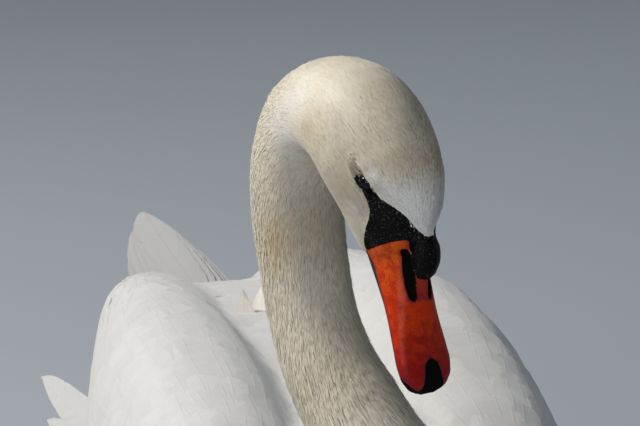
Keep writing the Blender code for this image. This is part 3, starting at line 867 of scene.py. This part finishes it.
def strands(skin, name, density, rng):
    """Fine feathers: thin ridged blades, shorter beside the bare skin."""
    root = skin.roots(*skin.scatter(density, rng))
    count = len(root.place)
    sway = rng.normal(0, SWAY * 0.6, count) + soft_noise(root.place, 0.016, 21) * SWAY
    lie = unit(root.lie + np.cross(root.normal, root.lie) * sway[:, None])
    near_edge = 1 - ease(-root.bare, 0.0, 0.006)
    long, wide = (np.interp(root.distance, STRAND_AT, values) for values in (STRAND_LENGTH, STRAND_WIDTH))
    long = long * rng.uniform(0.75, 1.25, count) * (1 - 0.5 * near_edge)
    wide = wide * rng.uniform(0.8, 1.2, count)
    high = coat_depth(root.distance) * rng.uniform(0.82, 1.12, count)
    stray = (rng.random(count) < STRAY_SHARE) & (root.distance > STRAY_FROM)
    high = np.where(stray, high * STRAY_RISE, high)
    shape = -0.15 + 1.15 * np.linspace(0, 1, STRAND_ROWS) ** 0.8
    path = np.array([march(skin, r, w, s, shape * h) for r, w, s, h in zip(root.place, lie, long, high)])
    path = gathered(path, root.place, np.interp(root.distance, TUFT_AT, TUFT_PULL), rng)
    middle, up = path[..., :3], unit(path[..., 3:])
    ahead = unit(np.gradient(middle, axis=1))
    across = unit(np.cross(ahead, up))
    across = unit(across + up * rng.normal(0, 0.09, count)[:, None, None])
    reach = (wide[:, None] * STRAND_OUTLINE)[..., None] / 2
    ridge = middle + np.cross(across, ahead) * reach * 0.35
    grid = np.stack([middle - across * reach, ridge, middle + across * reach], 2)
    colour = plumage(root.place, root.distance) * rng.normal(1.0, 0.055, count)[:, None]
    # Painted shade: each strand is darkened at its root and lightened at its tip.
    colour = np.clip(colour[:, None] * np.repeat(STRAND_PAINTED_SHADE, 3)[:, None], 0, BRIGHTEST)
    rows, columns = np.linspace(-0.5, 0.5, STRAND_ROWS), np.linspace(-0.5, 0.5, 3)
    place = np.stack([np.tile(columns, STRAND_ROWS), np.repeat(rows, 3)], 1)
    home = unwrap(root.distance, root.angle)
    faces = grid_faces(STRAND_ROWS, 3)
    mesh = joined_tufts(name, grid.reshape(count, -1, 3), faces, place, home, {"coat": colour})
    lean_normals(mesh, np.repeat(up[:, :, None], 3, axis=2).reshape(-1, 3), STRAND_LEAN)
    return mesh


VANE_STEPS = np.array([0.0, 0.20, 0.42, 0.62, 0.78, 0.89, 0.96, 1.0])
VANE_ACROSS = np.array([-1.0, -0.5, 0.0, 0.5, 1.0])
VANE_OUTLINE = np.array([0.40, 0.74, 0.95, 1.0, 0.93, 0.76, 0.54, 0.22])
VANE_RISE = np.array([-0.05, 0.10, 0.20, 0.27, 0.31, 0.31, 0.27, 0.20])
BARB_SLANT = 0.35
SHAFT_LIFT = 0.00006
SHAFT_WIDTH = 0.012
BARB_STRAY = 0.004
# The barbs on each side of a long feather, and how much of its share of the rim each one's end fills.
LONG_FEATHER = (44, 1.04)


def feather_pattern(barbs, closed):
    """One feather's points as (along, across, above, loose), and its quads: barbs, then the shaft."""
    points = []
    quads = []

    def ribbon(pairs):
        first = len(points)
        for pair in pairs:
            points.extend(pair)
        quads.extend((k, k + 2, k + 3, k + 1) for k in range(first, len(points) - 2, 2))

    for side in (-1, 1):
        for start in (np.arange(barbs) + 0.5) / barbs:
            pairs = []
            for across, full in ((0.0, 1.04), (0.62, 1.04), (1.0, closed)):
                along = start + (1 - start) * BARB_SLANT * across ** 1.2
                half = side * full * (1 - BARB_SLANT * across) / (2 * barbs)
                pairs.append([(along + turn * half, side * across, 0.0, across ** 4) for turn in (-1, 1)])
            ribbon(pairs)
    shaft = [[(t, turn * SHAFT_WIDTH * (1.1 - t), SHAFT_LIFT, 0.0) for turn in (1, -1)] for t in VANE_STEPS]
    ribbon(shaft)
    points = np.array(points)
    points[:, 0] = np.clip(points[:, 0], 0, 1)
    return points, np.array(quads)


def hats(at, stations):
    """How much each of `at` takes from each station, between its two nearest."""
    return np.array([np.interp(at, stations, row) for row in np.eye(len(stations))]).T


def feather_mesh(name, lattice, up, wide, long, colour, home, rng, barbs=16, closed=1.05):
    """Barbed feathers, each laid over its own lattice of points and normals.

    closed is how much of its share of the rim each barb's end fills.
    """
    pattern, quads = feather_pattern(barbs, closed)
    along, across, above, loose = pattern.T
    mix = hats(along, VANE_STEPS)[:, :, None] * hats(across, VANE_ACROSS)[:, None]
    mix = mix.reshape(len(pattern), -1)
    count = len(lattice)
    points, normals = (np.einsum("mk,nkc->nmc", mix, v.reshape(count, -1, 3)) for v in (lattice, up))
    normals = unit(normals)
    points = points + normals * above[:, None]
    in_shaft = len(pattern) - 12 * barbs
    astray = np.repeat(rng.normal(0, BARB_STRAY, (count, 2 * barbs, 3)), 6, axis=1) * wide[:, None, None]
    astray = np.pad(astray, ((0, 0), (0, in_shaft), (0, 0))) * loose[:, None]
    points += astray - normals * (astray * normals).sum(-1, keepdims=True)
    # Painted shade: each feather is darker towards its root, where the feathers over it shade it; each
    # barb's tone also differs a little at random.
    shade = 0.93 + 0.07 * along ** 0.5
    barb = np.repeat(rng.normal(1, 0.012, (count, 2 * barbs)), 6, axis=1)
    shade = shade * np.pad(barb, ((0, 0), (0, in_shaft)), constant_values=1.0)
    width = np.interp(along, VANE_STEPS, VANE_OUTLINE) * across / 2
    sideways, lengthways = width * wide[:, None], along * long[:, None]
    vane = np.stack(np.broadcast_arrays(sideways, lengthways, above), -1)
    values = {"coat": np.clip(colour[:, None] * shade[..., None], 0, BRIGHTEST), "vane": vane}
    place = np.stack([across / 2, along - 0.5], 1)
    mesh = joined_tufts(name, points, quads, place, home, values)
    lean_normals(mesh, normals.reshape(-1, 3), VANE_LEAN)
    return mesh


def free_lattice(middle, up, wide, camber=0.05, outline=VANE_OUTLINE):
    """Points and normals of feathers along their middle lines, cupped, off the skin."""
    ahead = unit(np.gradient(middle, axis=1))
    across = unit(np.cross(ahead, up))
    up = np.cross(across, ahead)[:, :, None]
    reach = (wide[:, None] * outline)[:, :, None, None] / 2 * VANE_ACROSS[:, None]
    bend = (wide * camber)[:, None, None, None] * VANE_ACROSS[:, None] ** 2
    lattice = middle[:, :, None] + across[:, :, None] * reach - up * bend
    return lattice, np.broadcast_to(up, lattice.shape)


def laid_lattice(skin, middle, up, wide, high):
    """Points and normals of feathers that lie all over on the skin."""
    flat = free_lattice(middle, up, wide, camber=0.0)[0]
    height = high[:, None, None] * (VANE_RISE[:, None] - 0.14 * VANE_ACROSS ** 2)
    laid = np.empty((flat.size // 3, 6))
    for i, (place, above) in enumerate(zip(flat.reshape(-1, 3), height.ravel())):
        hit, normal, _, _ = skin.tree.find_nearest(Vector(place))
        laid[i] = (*(hit + normal * above), *normal)
    laid = laid.reshape(*flat.shape[:3], 6)
    normals = laid[..., 3:]
    return laid[..., :3], unit(normals + normals.mean((1, 2), keepdims=True) * 0.5)


def spaced(points, gaps, rng):
    """Picks points in random order, none nearer to another than its gap."""
    size = gaps.max()
    taken = {}
    chosen = []
    for i in rng.permutation(len(points)):
        p = points[i]
        cell = tuple((p // size).astype(int))
        near = [q for dx in (-1, 0, 1) for dy in (-1, 0, 1) for dz in (-1, 0, 1)
                for q in taken.get((cell[0] + dx, cell[1] + dy, cell[2] + dz), ())]
        if all((p[0] - q[0]) ** 2 + (p[1] - q[1]) ** 2 + (p[2] - q[2]) ** 2 > gaps[i] ** 2 for q in near):
            taken.setdefault(cell, []).append(p)
            chosen.append(i)
    return np.array(chosen)


def vane_coat(skin, name, mask, length, gap, slender, rng):
    """Vanes over the part of the skin where mask holds, which lift a little towards the tip.

    length is a value at each vertex; gap is the share of it that is kept between two roots.
    """
    density = np.where(mask, 2.6 / (length * gap) ** 2, 0)
    face, weights = skin.scatter(density, rng)
    long = skin.read(length, face, weights)
    chosen = spaced(skin.read(skin.points, face, weights), long * gap, rng)
    root, long = skin.roots(face[chosen], weights[chosen]), long[chosen]
    count = len(long)
    side = np.cross(root.normal, root.lie)
    lie = unit(root.lie + side * rng.normal(0, 0.07, count)[:, None])
    long = long * rng.uniform(0.9, 1.1, count)
    high = coat_depth(root.distance) * rng.uniform(0.85, 1.15, count)
    wide = long * np.interp(long, (0.02, 0.15), (0.75, slender))
    even = np.linspace(0, 1, 6)
    flat = np.zeros(len(even))
    path = np.array([march(skin, r, w, s, flat) for r, w, s in zip(root.place, lie, long)])
    path = through(even, path.transpose(1, 0, 2), VANE_STEPS).transpose(1, 0, 2)
    colour = plumage(root.place, root.distance) * rng.normal(1.0, 0.02, count)[:, None]
    lattice, up = laid_lattice(skin, path[..., :3], unit(path[..., 3:]), wide, high)
    return feather_mesh(name, lattice, up, wide, long, colour, unwrap(root.distance, root.angle), rng)


# ---- tail and flight feathers

TAIL_ROOT = np.array([0.0, 0.300, 0.280])
TAIL_BEND = np.array([-0.005, 0.420, 0.296])
TAIL_TIP = np.array([-0.002, 0.540, 0.307])
TAIL_AT = (0.0, 0.20, 0.45, 0.68, 0.86, 0.96, 1.0)
TAIL_HALF_WIDTH = (0.044, 0.039, 0.030, 0.0215, 0.0145, 0.009, 0.004)
TAIL_CAMBER = 0.012
# How much shorter the outer feathers are, where along the tail they begin, and each layer's height.
TAIL_ROUNDING = 0.17
TAIL_START = 0.08
TAIL_LAYER = 0.0030
TAIL_FEATHERS = 11
TAIL_LENGTH = 0.24

# The ends of the folded primaries on one side, from root to tip, and each one's width.
PRIMARIES = (
    ((0.090, 0.170, 0.222), (0.1180, 0.366, 0.2310), 0.031),
    ((0.092, 0.160, 0.214), (0.1130, 0.346, 0.2230), 0.028),
    ((0.088, 0.160, 0.196), (0.1150, 0.362, 0.1990), 0.032),
    ((0.084, 0.150, 0.186), (0.1080, 0.342, 0.1880), 0.027),
)
POINTED = np.array([0.60, 0.85, 1.0, 0.96, 0.80, 0.58, 0.32, 0.05])


def tail_place(t):
    """The tail's middle line at t from 0 to 1, its direction, and the way up from it."""
    t = np.asarray(t, float)[..., None]
    near, far = TAIL_ROOT + (TAIL_BEND - TAIL_ROOT) * t, TAIL_BEND + (TAIL_TIP - TAIL_BEND) * t
    way = unit(far - near)
    side = unit(np.cross(way, (0, 0, 1)))
    return near + (far - near) * t, side, np.cross(side, way)


def tail_layer(height, count, reach):
    """One layer of the tail: each feather's middle line, its upside, its place across, and its tip."""
    place = np.linspace(-1, 1, count)
    place = place[np.argsort(-np.abs(place))]
    tip = reach * (1.0 - TAIL_ROUNDING * np.abs(place) ** 1.4)
    t = TAIL_START + (tip[:, None] - TAIL_START) * VANE_STEPS[None]
    middle, side, up = tail_place(t)
    half = through(TAIL_AT, TAIL_HALF_WIDTH, t) * 0.80
    lift = height + np.sign(height) * (1 - np.abs(place))[:, None] * 0.0014 * (1 - t)
    lift = lift - TAIL_CAMBER * (half / 0.031) * place[:, None] ** 2
    middle = middle + side * (half * place[:, None])[..., None] + up * lift[..., None]
    return middle, up * np.sign(height), place, t[:, -1]


def make_tail(rng):
    """A wedge of long feathers, the middle ones longest and on top, with a second layer below."""
    layers = tail_layer(TAIL_LAYER, TAIL_FEATHERS, 1.0), tail_layer(-TAIL_LAYER, TAIL_FEATHERS // 2, 0.93)
    middle, up, place, tip = (np.concatenate(parts) for parts in zip(*layers))
    count = len(middle)
    wide = rng.uniform(0.023, 0.026, count)
    # Painted shade: the tail is coloured darker than the body's white, for the shade it lies in.
    colour = np.tile(BODY * 0.80, (count, 1)) * rng.normal(1.0, 0.012, count)[:, None]
    home = np.stack([0.5 + 0.46 * place, 0.04 + 0.92 * np.arange(count) / count], 1)
    lattice, up = free_lattice(middle, up, wide, 0.04)
    long = tip * TAIL_LENGTH
    return feather_mesh("tail_feathers", lattice, up, wide, long, colour, home, rng, *LONG_FEATHER)


TAPERED = np.array([1.0, 0.96, 0.78, 0.54, 0.34, 0.19, 0.09, 0.02])
# Feathers ruffled up between the wings: root seen from above, the way to the tip, and width.
RUFFLED = (
    ((-0.0200, 0.138), (0.0004, 0.0050, 0.0235), 0.0190),
    ((-0.0060, 0.143), (0.0035, 0.0060, 0.0290), 0.0210),
    ((0.0050, 0.150), (0.0030, 0.0060, 0.0300), 0.0220),
)


def make_ruffled(skin, rng):
    """The feathers ruffled up between the wings, rooted a little under the skin."""
    down = Vector((0, 0, -1))
    root = np.array([skin.tree.ray_cast(Vector((*place, 1.0)), down)[0] for place, _, _ in RUFFLED])
    way, wide = (np.array([entry[k] for entry in RUFFLED]) for k in (1, 2))
    middle = root[:, None] + way[:, None] * (VANE_STEPS[:, None] - 0.30)
    up = np.broadcast_to(unit(np.array([-0.35, -0.45, 0.82])), middle.shape)
    # Painted light: these feathers are coloured lighter than the cream and white, to make up for the wings'
    # shade on them.
    colour = (CREAM + WHITE) / 2 * np.array([1.12, 1.28, 1.28])[:, None]
    home = np.array([[0.1, 0.1], [0.9, 0.9], [0.1, 0.9]])
    lattice, up = free_lattice(middle, up, wide, 0.10, TAPERED)
    long = np.linalg.norm(way, axis=1)
    return feather_mesh("ruffled_feathers", lattice, up, wide, long, colour, home, rng, barbs=24)


def make_primaries(rng):
    """The ends of the folded primaries on both sides, cupped and a little bent."""
    ends = np.array([np.multiply(pair, (sign, 1, 1)) for sign in (-1, 1) for *pair, _ in PRIMARIES])
    wide = np.array([width for *_, width in PRIMARIES * 2])
    root, tip = ends[:, :1], ends[:, 1:]
    middle = root + (tip - root) * VANE_STEPS[:, None]
    middle[..., 2] -= 0.006 * np.sin(np.pi * VANE_STEPS)
    up = np.array([unit(np.array([sign, 0.10, 0.30])) for sign in (-1, 1) for _ in PRIMARIES])
    up = np.broadcast_to(up[:, None], middle.shape)
    count = len(wide)
    long = np.linalg.norm(middle[:, -1] - middle[:, 0], axis=1)
    colour = np.tile(BODY * 0.93, (count, 1))
    home = np.stack([0.1 + 0.8 * np.arange(count) / (count - 1), 0.1 + 0.8 * (np.arange(count) % 2)], 1)
    lattice, up = free_lattice(middle, up, wide, 0.05, POINTED)
    return feather_mesh("flight_feathers", lattice, up, wide, long, colour, home, rng, *LONG_FEATHER)


# ---- bill and eyes


def bill_surface(ahead, angle):
    """The outer surface of the upper bill, in the head's frame: a dome over the cutting edge."""
    half, high, low = (through(BILL_AT, v, ahead) for v in (BILL_HALF_WIDTH, BILL_CULMEN, BILL_EDGE))
    power = 2 / np.interp(ahead, (0.0, 0.02, 0.035, 0.06), (1.55, 1.60, 1.95, 2.45))
    across, up = np.cos(angle), np.sin(angle)
    right = half * np.sign(across) * np.abs(across) ** power
    return np.stack([right, ahead, low + (high - low) * np.maximum(up, 0) ** power], -1)


def nostril_reach(coords):
    ahead, crown = coords[..., 1], coords[..., 2]
    half = np.interp(ahead, NOSTRIL_AT, NOSTRIL_HALF, left=-0.004, right=-0.004)
    return half - np.abs(crown - np.interp(ahead, NOSTRIL_AT, NOSTRIL_MIDDLE))


def nail_reach(coords):
    ahead = coords[..., 1]
    half = np.interp(ahead, NAIL_AT, NAIL_HALF_WIDTH) - np.maximum(0, NAIL_AT[0] - ahead)
    return half - np.abs(coords[..., 0])


def black_reach(coords, edge):
    """How far a point of the bill lies inside its black parts."""
    ahead, crown = coords[..., 1], coords[..., 2]
    knob = np.minimum(crown - edge_at(KNOB_EDGE, ahead), KNOB_LINE_END - ahead)
    rim = 0.0003 + 0.0042 * ease(ahead, 0.072, 0.088) - (crown - edge)
    return np.maximum.reduce([nostril_reach(coords), nail_reach(coords), knob, rim])


def meet_skin(tree, row):
    """How far each point of the bill's first row moves, away from its core, to end just past the skin."""
    moves = np.zeros(row.shape)
    for move, corner in zip(moves, row):
        core = np.array([0, corner[1], CORE_CROWN])
        way = unit(corner - core)
        hit = tree.ray_cast(Vector(from_head(core)), Vector(from_head(way) - HEAD_AT))[0]
        if hit is not None:
            needed = to_head(np.array(hit)[None])[0] + way * BILL_BITE - corner
            if np.linalg.norm(needed) < BILL_MOST_MOVE:
                move[:] = needed
    return moves


def make_bill(tree):
    """The upper bill: it grows out of the skin, with its nostrils, nail and cutting edges."""
    angle = np.linspace(0, np.pi, BILL_COLUMNS)[None]
    rear = np.interp(np.degrees(np.minimum(angle, np.pi - angle)), *zip(*BILL_REAR))
    along = np.sin(np.linspace(0, np.pi / 2, BILL_ROWS))[:, None]
    ahead = rear + (BILL_AT[-1] - 0.0001 - rear) * along
    coords = bill_surface(ahead, np.broadcast_to(angle, ahead.shape))
    coords = coords + meet_skin(tree, coords[0]) * (1 - ease(ahead, rear, rear + BILL_BLEND))[..., None]
    edge = through(BILL_AT, BILL_EDGE, ahead)
    radial = coords - np.stack([np.zeros_like(ahead), ahead, edge + 0.003], -1)
    radial = unit(radial * (1, 0, 1))
    nostril, nail = nostril_reach(coords), nail_reach(coords)
    height = NAIL_RISE * ease(nail, -0.0001, 0.0006) - NOSTRIL_DEPTH * ease(nostril, 0.0, 0.0010)
    black, pale = black_reach(coords, edge), pale_gap(coords)
    coords = coords + radial * height[..., None]
    under = np.broadcast_arrays(coords[:, :1, 0] * BILL_UNDER, ahead[:, :1], edge[:, :1] + BILL_LIP)
    coords = np.concatenate([coords, np.stack(under, -1)], 1).reshape(-1, 3)
    columns = BILL_COLUMNS + len(BILL_UNDER)
    mesh = facing_out(mesh_from("bill", from_head(coords), ring_faces(BILL_ROWS, columns)))
    add_values(mesh, "bill", coords)
    for name, values, below in (("black", black, 0.002), ("pale", pale, 1.0)):
        values = np.pad(values, ((0, 0), (0, len(BILL_UNDER))), constant_values=below)
        add_values(mesh, name, values.ravel())
    return mesh


def pale_gap(coords):
    """Distance from the thin pale line between nostril and knob."""
    ahead = coords[..., 1]
    gap = np.abs(coords[..., 2] - edge_at(KNOB_EDGE, ahead) + 0.0003)
    return gap + np.maximum(0, 0.003 - ahead) + np.maximum(0, ahead - 0.0165)


def make_lower_bill():
    """The lower bill: rings that follow the upper bill's edges and close at the tip."""
    turn = np.linspace(0, 2 * np.pi, LOWER_COLUMNS, endpoint=False)[None]
    along = np.sin(np.linspace(0, np.pi / 2, LOWER_ROWS))[:, None]
    ahead = LOWER_AT[0] + (LOWER_AT[-1] - LOWER_AT[0]) * along
    half, depth = through(LOWER_AT, LOWER_HALF_WIDTH, ahead), through(LOWER_AT, LOWER_DEPTH, ahead)
    top = np.interp(ahead, (0.060, 0.0832), (-0.0003, -0.0034))
    up = np.sin(turn)
    crown = top + np.where(up > 0, up * 0.0006, -np.abs(up) ** 0.8 * depth)
    right = half * np.sign(np.cos(turn)) * np.abs(np.cos(turn)) ** 0.8
    coords = np.stack(np.broadcast_arrays(right, ahead, crown), -1).reshape(-1, 3)
    return facing_out(mesh_from("lower_bill", from_head(coords), ring_faces(LOWER_ROWS, LOWER_COLUMNS)))


def make_eye(side):
    """An eyeball with its cornea, whose pole looks out through the lids."""
    tilt = np.linspace(0.02, np.pi - 0.02, EYE_ROWS)[:, None]
    turn = np.linspace(0, 2 * np.pi, EYE_COLUMNS, endpoint=False)[None]
    cornea = 1 + 0.05 * np.exp(-((tilt / 0.55) ** 2))[..., None]
    coords = EYE_AT * (side, 1, 1) + eye_way(side, tilt, turn) * EYE_RADIUS * cornea
    faces = [*ring_faces(EYE_ROWS, EYE_COLUMNS), list(range(EYE_COLUMNS))]
    mesh = facing_out(mesh_from("eye", from_head(coords.reshape(-1, 3)), faces))
    add_values(mesh, "gaze", np.broadcast_to(tilt, (EYE_ROWS, EYE_COLUMNS)).ravel())
    return mesh


def paint_bill():
    """Orange at the base, crimson towards the tip, black in the nostril and on the nail."""
    paint = Paint("bill_horn", 0.34, 0.11)
    ahead = paint.part(paint.attribute("bill", "Vector"), "Y")
    black, mottle, fine = paint.attribute("black"), paint.noise(170.0, 4.0), paint.noise(1100.0, 3.0)
    drift = paint.stirred(ahead, mottle, 0.05)
    base = paint.blend(paint.spread(drift, -0.005, 0.034), (0.66, 0.100, 0.008), (0.56, 0.036, 0.003))
    layers = (
        (paint.spread(drift, 0.040, 0.080), (0.27, 0.006, 0.008)),
        (paint.spread(mottle, 0.46, 0.62, 0.0, 0.45), (0.26, 0.010, 0.004)),
        (paint.spread(fine, 0.50, 0.64, 0.0, 0.60), (0.27, 0.014, 0.005)),
        # Pale orange specks in small cells: painted glints on the horn.
        (paint.spread(paint.cells(520.0), 0.16, 0.04, 0.0, 0.30), (0.76, 0.20, 0.06)),
        (paint.spread(black, -0.0030, 0.0002, 0.0, 0.65), (0.15, 0.014, 0.022)),
        (paint.spread(paint.stirred(black, fine, 0.0008), -0.0002, 0.0002), (0.001, 0.001, 0.001)),
        (paint.spread(paint.attribute("pale"), 0.00012, 0.00035, 0.75, 0.0), (0.40, 0.30, 0.26)),
    )
    for share, colour in layers:
        base = paint.blend(share, base, colour)
    paint.feed("Base Color", base)
    dull = paint.spread(black, -0.0002, 0.0002, 0.0, 0.55)
    paint.feed("Roughness", paint.math("ADD", dull, paint.spread(mottle, 0.3, 0.7, 0.26, 0.40)))
    paint.bump(paint.plus(mottle, fine, 0.35), 0.0008, 0.5)
    return paint.material


def paint_lower_bill():
    paint = Paint("lower_bill", 0.35, 0.12)
    fine = paint.noise(900.0, 4.0)
    paint.feed("Base Color", paint.blend(fine, (0.010, 0.009, 0.009), (0.018, 0.0162, 0.0162)))
    paint.bump(fine, 0.0002, 0.6)
    return paint.material


def paint_feet():
    """Blackish skin in small scales."""
    paint = Paint("feet", 0.48, 0.3)
    scales = paint.cells(420.0)
    rim = paint.spread(scales, 0.2, 0.7)
    paint.feed("Base Color", paint.blend(rim, (0.020, 0.019, 0.019), (0.008, 0.0075, 0.007)))
    paint.bump(paint.plus(scales, paint.noise(1200.0), 0.2), 0.0006, -0.8)
    return paint.material


def paint_eye():
    """A dark brown iris round a black pupil."""
    paint = Paint("eye", 0.10, 0.20)
    iris = paint.blend(paint.noise(1400.0), (0.006, 0.003, 0.002), (0.014, 0.007, 0.004))
    rim = paint.spread(paint.attribute("gaze"), 0.34, 0.38)
    paint.feed("Base Color", paint.blend(rim, (0.001, 0.001, 0.001), iris))
    return paint.material


# ---- camera, floor and lights

# Each light: name, place, where it points, size, watts and colour.
LIGHTS = (
    ("key", (-2.2, 0.75, 2.5), (0, -0.15, 0.35), 0.8, 102.0, (1.0, 0.965, 0.90)),
    ("front", (-1.9, -2.8, 1.15), (0, -0.1, 0.3), 1.4, 31.0, (0.99, 0.985, 0.98)),
    ("fill", (2.4, -1.2, 1.2), (0, -0.1, 0.3), 2.0, 1.5, (0.88, 0.94, 1.0)),
    ("back", (0.8, 2.4, 2.2), (0, 0, 0.4), 1.5, 9.0, (0.95, 0.97, 1.0)),
)


def place_camera():
    camera = bpy.data.cameras.new("camera")
    camera.sensor_width = 36.0
    camera.lens = CAMERA_LENS
    camera.clip_end = 50.0
    obj = placed("camera", camera)
    obj.location = CAMERA_AT
    obj.rotation_euler = (math.pi / 2 - CAMERA_ELEVATION, 0, CAMERA_AZIMUTH)
    bpy.context.scene.camera = obj


def add_light(name, at, target, size, power, colour):
    light = bpy.data.lights.new(name, "AREA")
    light.size = size
    light.energy = power
    light.color = colour
    obj = placed(name, light)
    obj.location = at
    obj.rotation_euler = (Vector(target) - Vector(at)).to_track_quat("-Z", "Y").to_euler()


def set_stage():
    """A pale floor, soft lights and a dim sky."""
    bpy.context.scene.view_settings.view_transform = "Standard"
    corners = [(x * FLOOR_REACH, y * FLOOR_REACH, -0.001) for x, y in ((-1, -1), (1, -1), (1, 1), (-1, 1))]
    floor = mesh_from("floor", corners, [(0, 1, 2, 3)])
    paint = Paint("floor", 0.8, 0.1)
    paint.feed("Base Color", paint.blend(paint.noise(0.8, 2.0), (0.35, 0.385, 0.425), (0.41, 0.445, 0.485)))
    floor.materials.append(paint.material)
    placed("floor", floor)
    for light in LIGHTS:
        add_light(*light)
    world = bpy.data.worlds.new("sky")
    world.use_nodes = True
    sky = world.node_tree.nodes["Background"]
    sky.inputs["Color"].default_value = (0.62, 0.68, 0.75, 1)
    sky.inputs["Strength"].default_value = 0.29
    bpy.context.scene.world = world


# ---- the swan

# Each coat piece of strands: where it begins and ends along the spine, and strands a square metre.
STRAND_BANDS = (
    ("coat_face", -0.05, 0.055, 1.9e6),
    ("coat_crown", 0.055, 0.095, 1.6e6),
    ("coat_nape", 0.095, 0.145, 1.4e6),
    ("coat_arch", 0.145, 0.205, 1.3e6),
    ("coat_neck", 0.205, 0.275, 1.2e6),
    ("coat_neck_low", 0.275, 0.335, 0.95e6),
    ("coat_neck_base", 0.335, 0.450, 0.43e6),
)


def coat_with_strands(skin, rng):
    """The fine coat of head and neck. Its edge is ragged, most of all on the forehead."""
    at_forehead = 1 - ease(np.abs(to_head(skin.points)[:, 0]), 0.010, 0.018)
    finest = soft_noise(skin.points, 0.0016, 6) * 0.0014 * at_forehead
    ragged = soft_noise(skin.points, 0.004, 5) * 0.0006 + finest
    feathered = skin.bare + ragged < -0.0003
    uneven = skin.distance + soft_noise(skin.points, 0.020, 8) * 0.015
    thinning = 1 - ease(uneven, 0.375, 0.425)
    paint = paint_strands()
    for name, start, end, thick in STRAND_BANDS:
        inside = (skin.distance >= start) & (skin.distance < end) & feathered
        density = np.where(inside, thick * thinning, 0.0)
        show(name, strands(skin, name, density, rng), paint, "head_plumage")


# The length of the vanes: on the wings by their Y, and on the body by their place along the spine.
WING_VANE_AT = (-0.24, -0.10, 0.05, 0.20, 0.38)
WING_VANE_LENGTH = (0.026, 0.045, 0.075, 0.105, 0.120)
BODY_VANE_AT = (0.38, 0.46, 0.60, 0.80, 1.10)
BODY_VANE_LENGTH = (0.020, 0.028, 0.038, 0.044, 0.052)


def on_wing(skin, sign):
    """The part of the skin that belongs to one raised wing."""
    low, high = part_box("wing_left" if sign > 0 else "wing_right")
    x, y, z = skin.points.T
    above = z > 0.30 - 0.11 * ease(x * sign, 0.10, 0.15)
    return (x * sign > 0.012) & (y > low.y + 0.01) & (y < high.y + 0.01) & above & (skin.distance > 0.42)


def coat_with_vanes(skin, rng):
    """The vanes of body and wings, and the long feathers."""
    y = skin.points[:, 1]
    right, left = on_wing(skin, -1), on_wing(skin, 1)
    rest = (skin.distance >= 0.385) & ~right & ~left
    wing_long = np.interp(y, WING_VANE_AT, WING_VANE_LENGTH)
    body_long = np.interp(skin.distance, BODY_VANE_AT, BODY_VANE_LENGTH) + 0.030 * ease(y, 0.28, 0.40)
    pieces = (
        ("coat_wing_right", right, wing_long, 0.22, 0.34),
        ("coat_wing_left", left, wing_long, 0.22, 0.34),
        ("coat_breast", rest & (y < -0.13), body_long, 0.30, 0.55),
        ("coat_body", rest & (y >= -0.13), body_long, 0.30, 0.55),
    )
    paint = paint_vanes()
    for name, mask, length, gap, slender in pieces:
        show(name, vane_coat(skin, name, mask, length, gap, slender, rng), paint, "body_plumage")
    show("tail_feathers", make_tail(rng), paint, "body_plumage", "tail")
    show("ruffled_feathers", make_ruffled(skin, rng), paint, "body_plumage")
    show("flight_feathers", make_primaries(rng), paint, "body_plumage", "primaries_left", "primaries_right")


def build():
    rng = np.random.default_rng(SEED)
    place_camera()
    set_stage()
    skin_mesh = make_skin()
    skin = Skin(skin_mesh)
    # Painted shade: the skin under the coat is coloured a little darker than the plumage.
    add_values(skin_mesh, "coat", plumage(skin.points, skin.distance) * 0.9)
    add_values(skin_mesh, "bare", skin.bare)
    show("skin", skin_mesh, paint_skin(), "head_plumage", *FLESH)
    show("bill", make_bill(skin.tree), paint_bill(), "bill_horn", "bill_upper", "bill_nail")
    show("lower_bill", make_lower_bill(), paint_lower_bill(), "bare_black", "bill_lower")
    eye_paint = paint_eye()
    show("eyeball_right", make_eye(1), eye_paint, "eye", "eye_right")
    show("eyeball_left", make_eye(-1), eye_paint, "eye", "eye_left")
    coat_with_strands(skin, rng)
    coat_with_vanes(skin, rng)
    feet_paint = paint_feet()
    for name in ("leg_left", "leg_right", "foot_left", "foot_right"):
        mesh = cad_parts[name].data
        mesh.materials.clear()
        mesh.materials.append(feet_paint)


build()
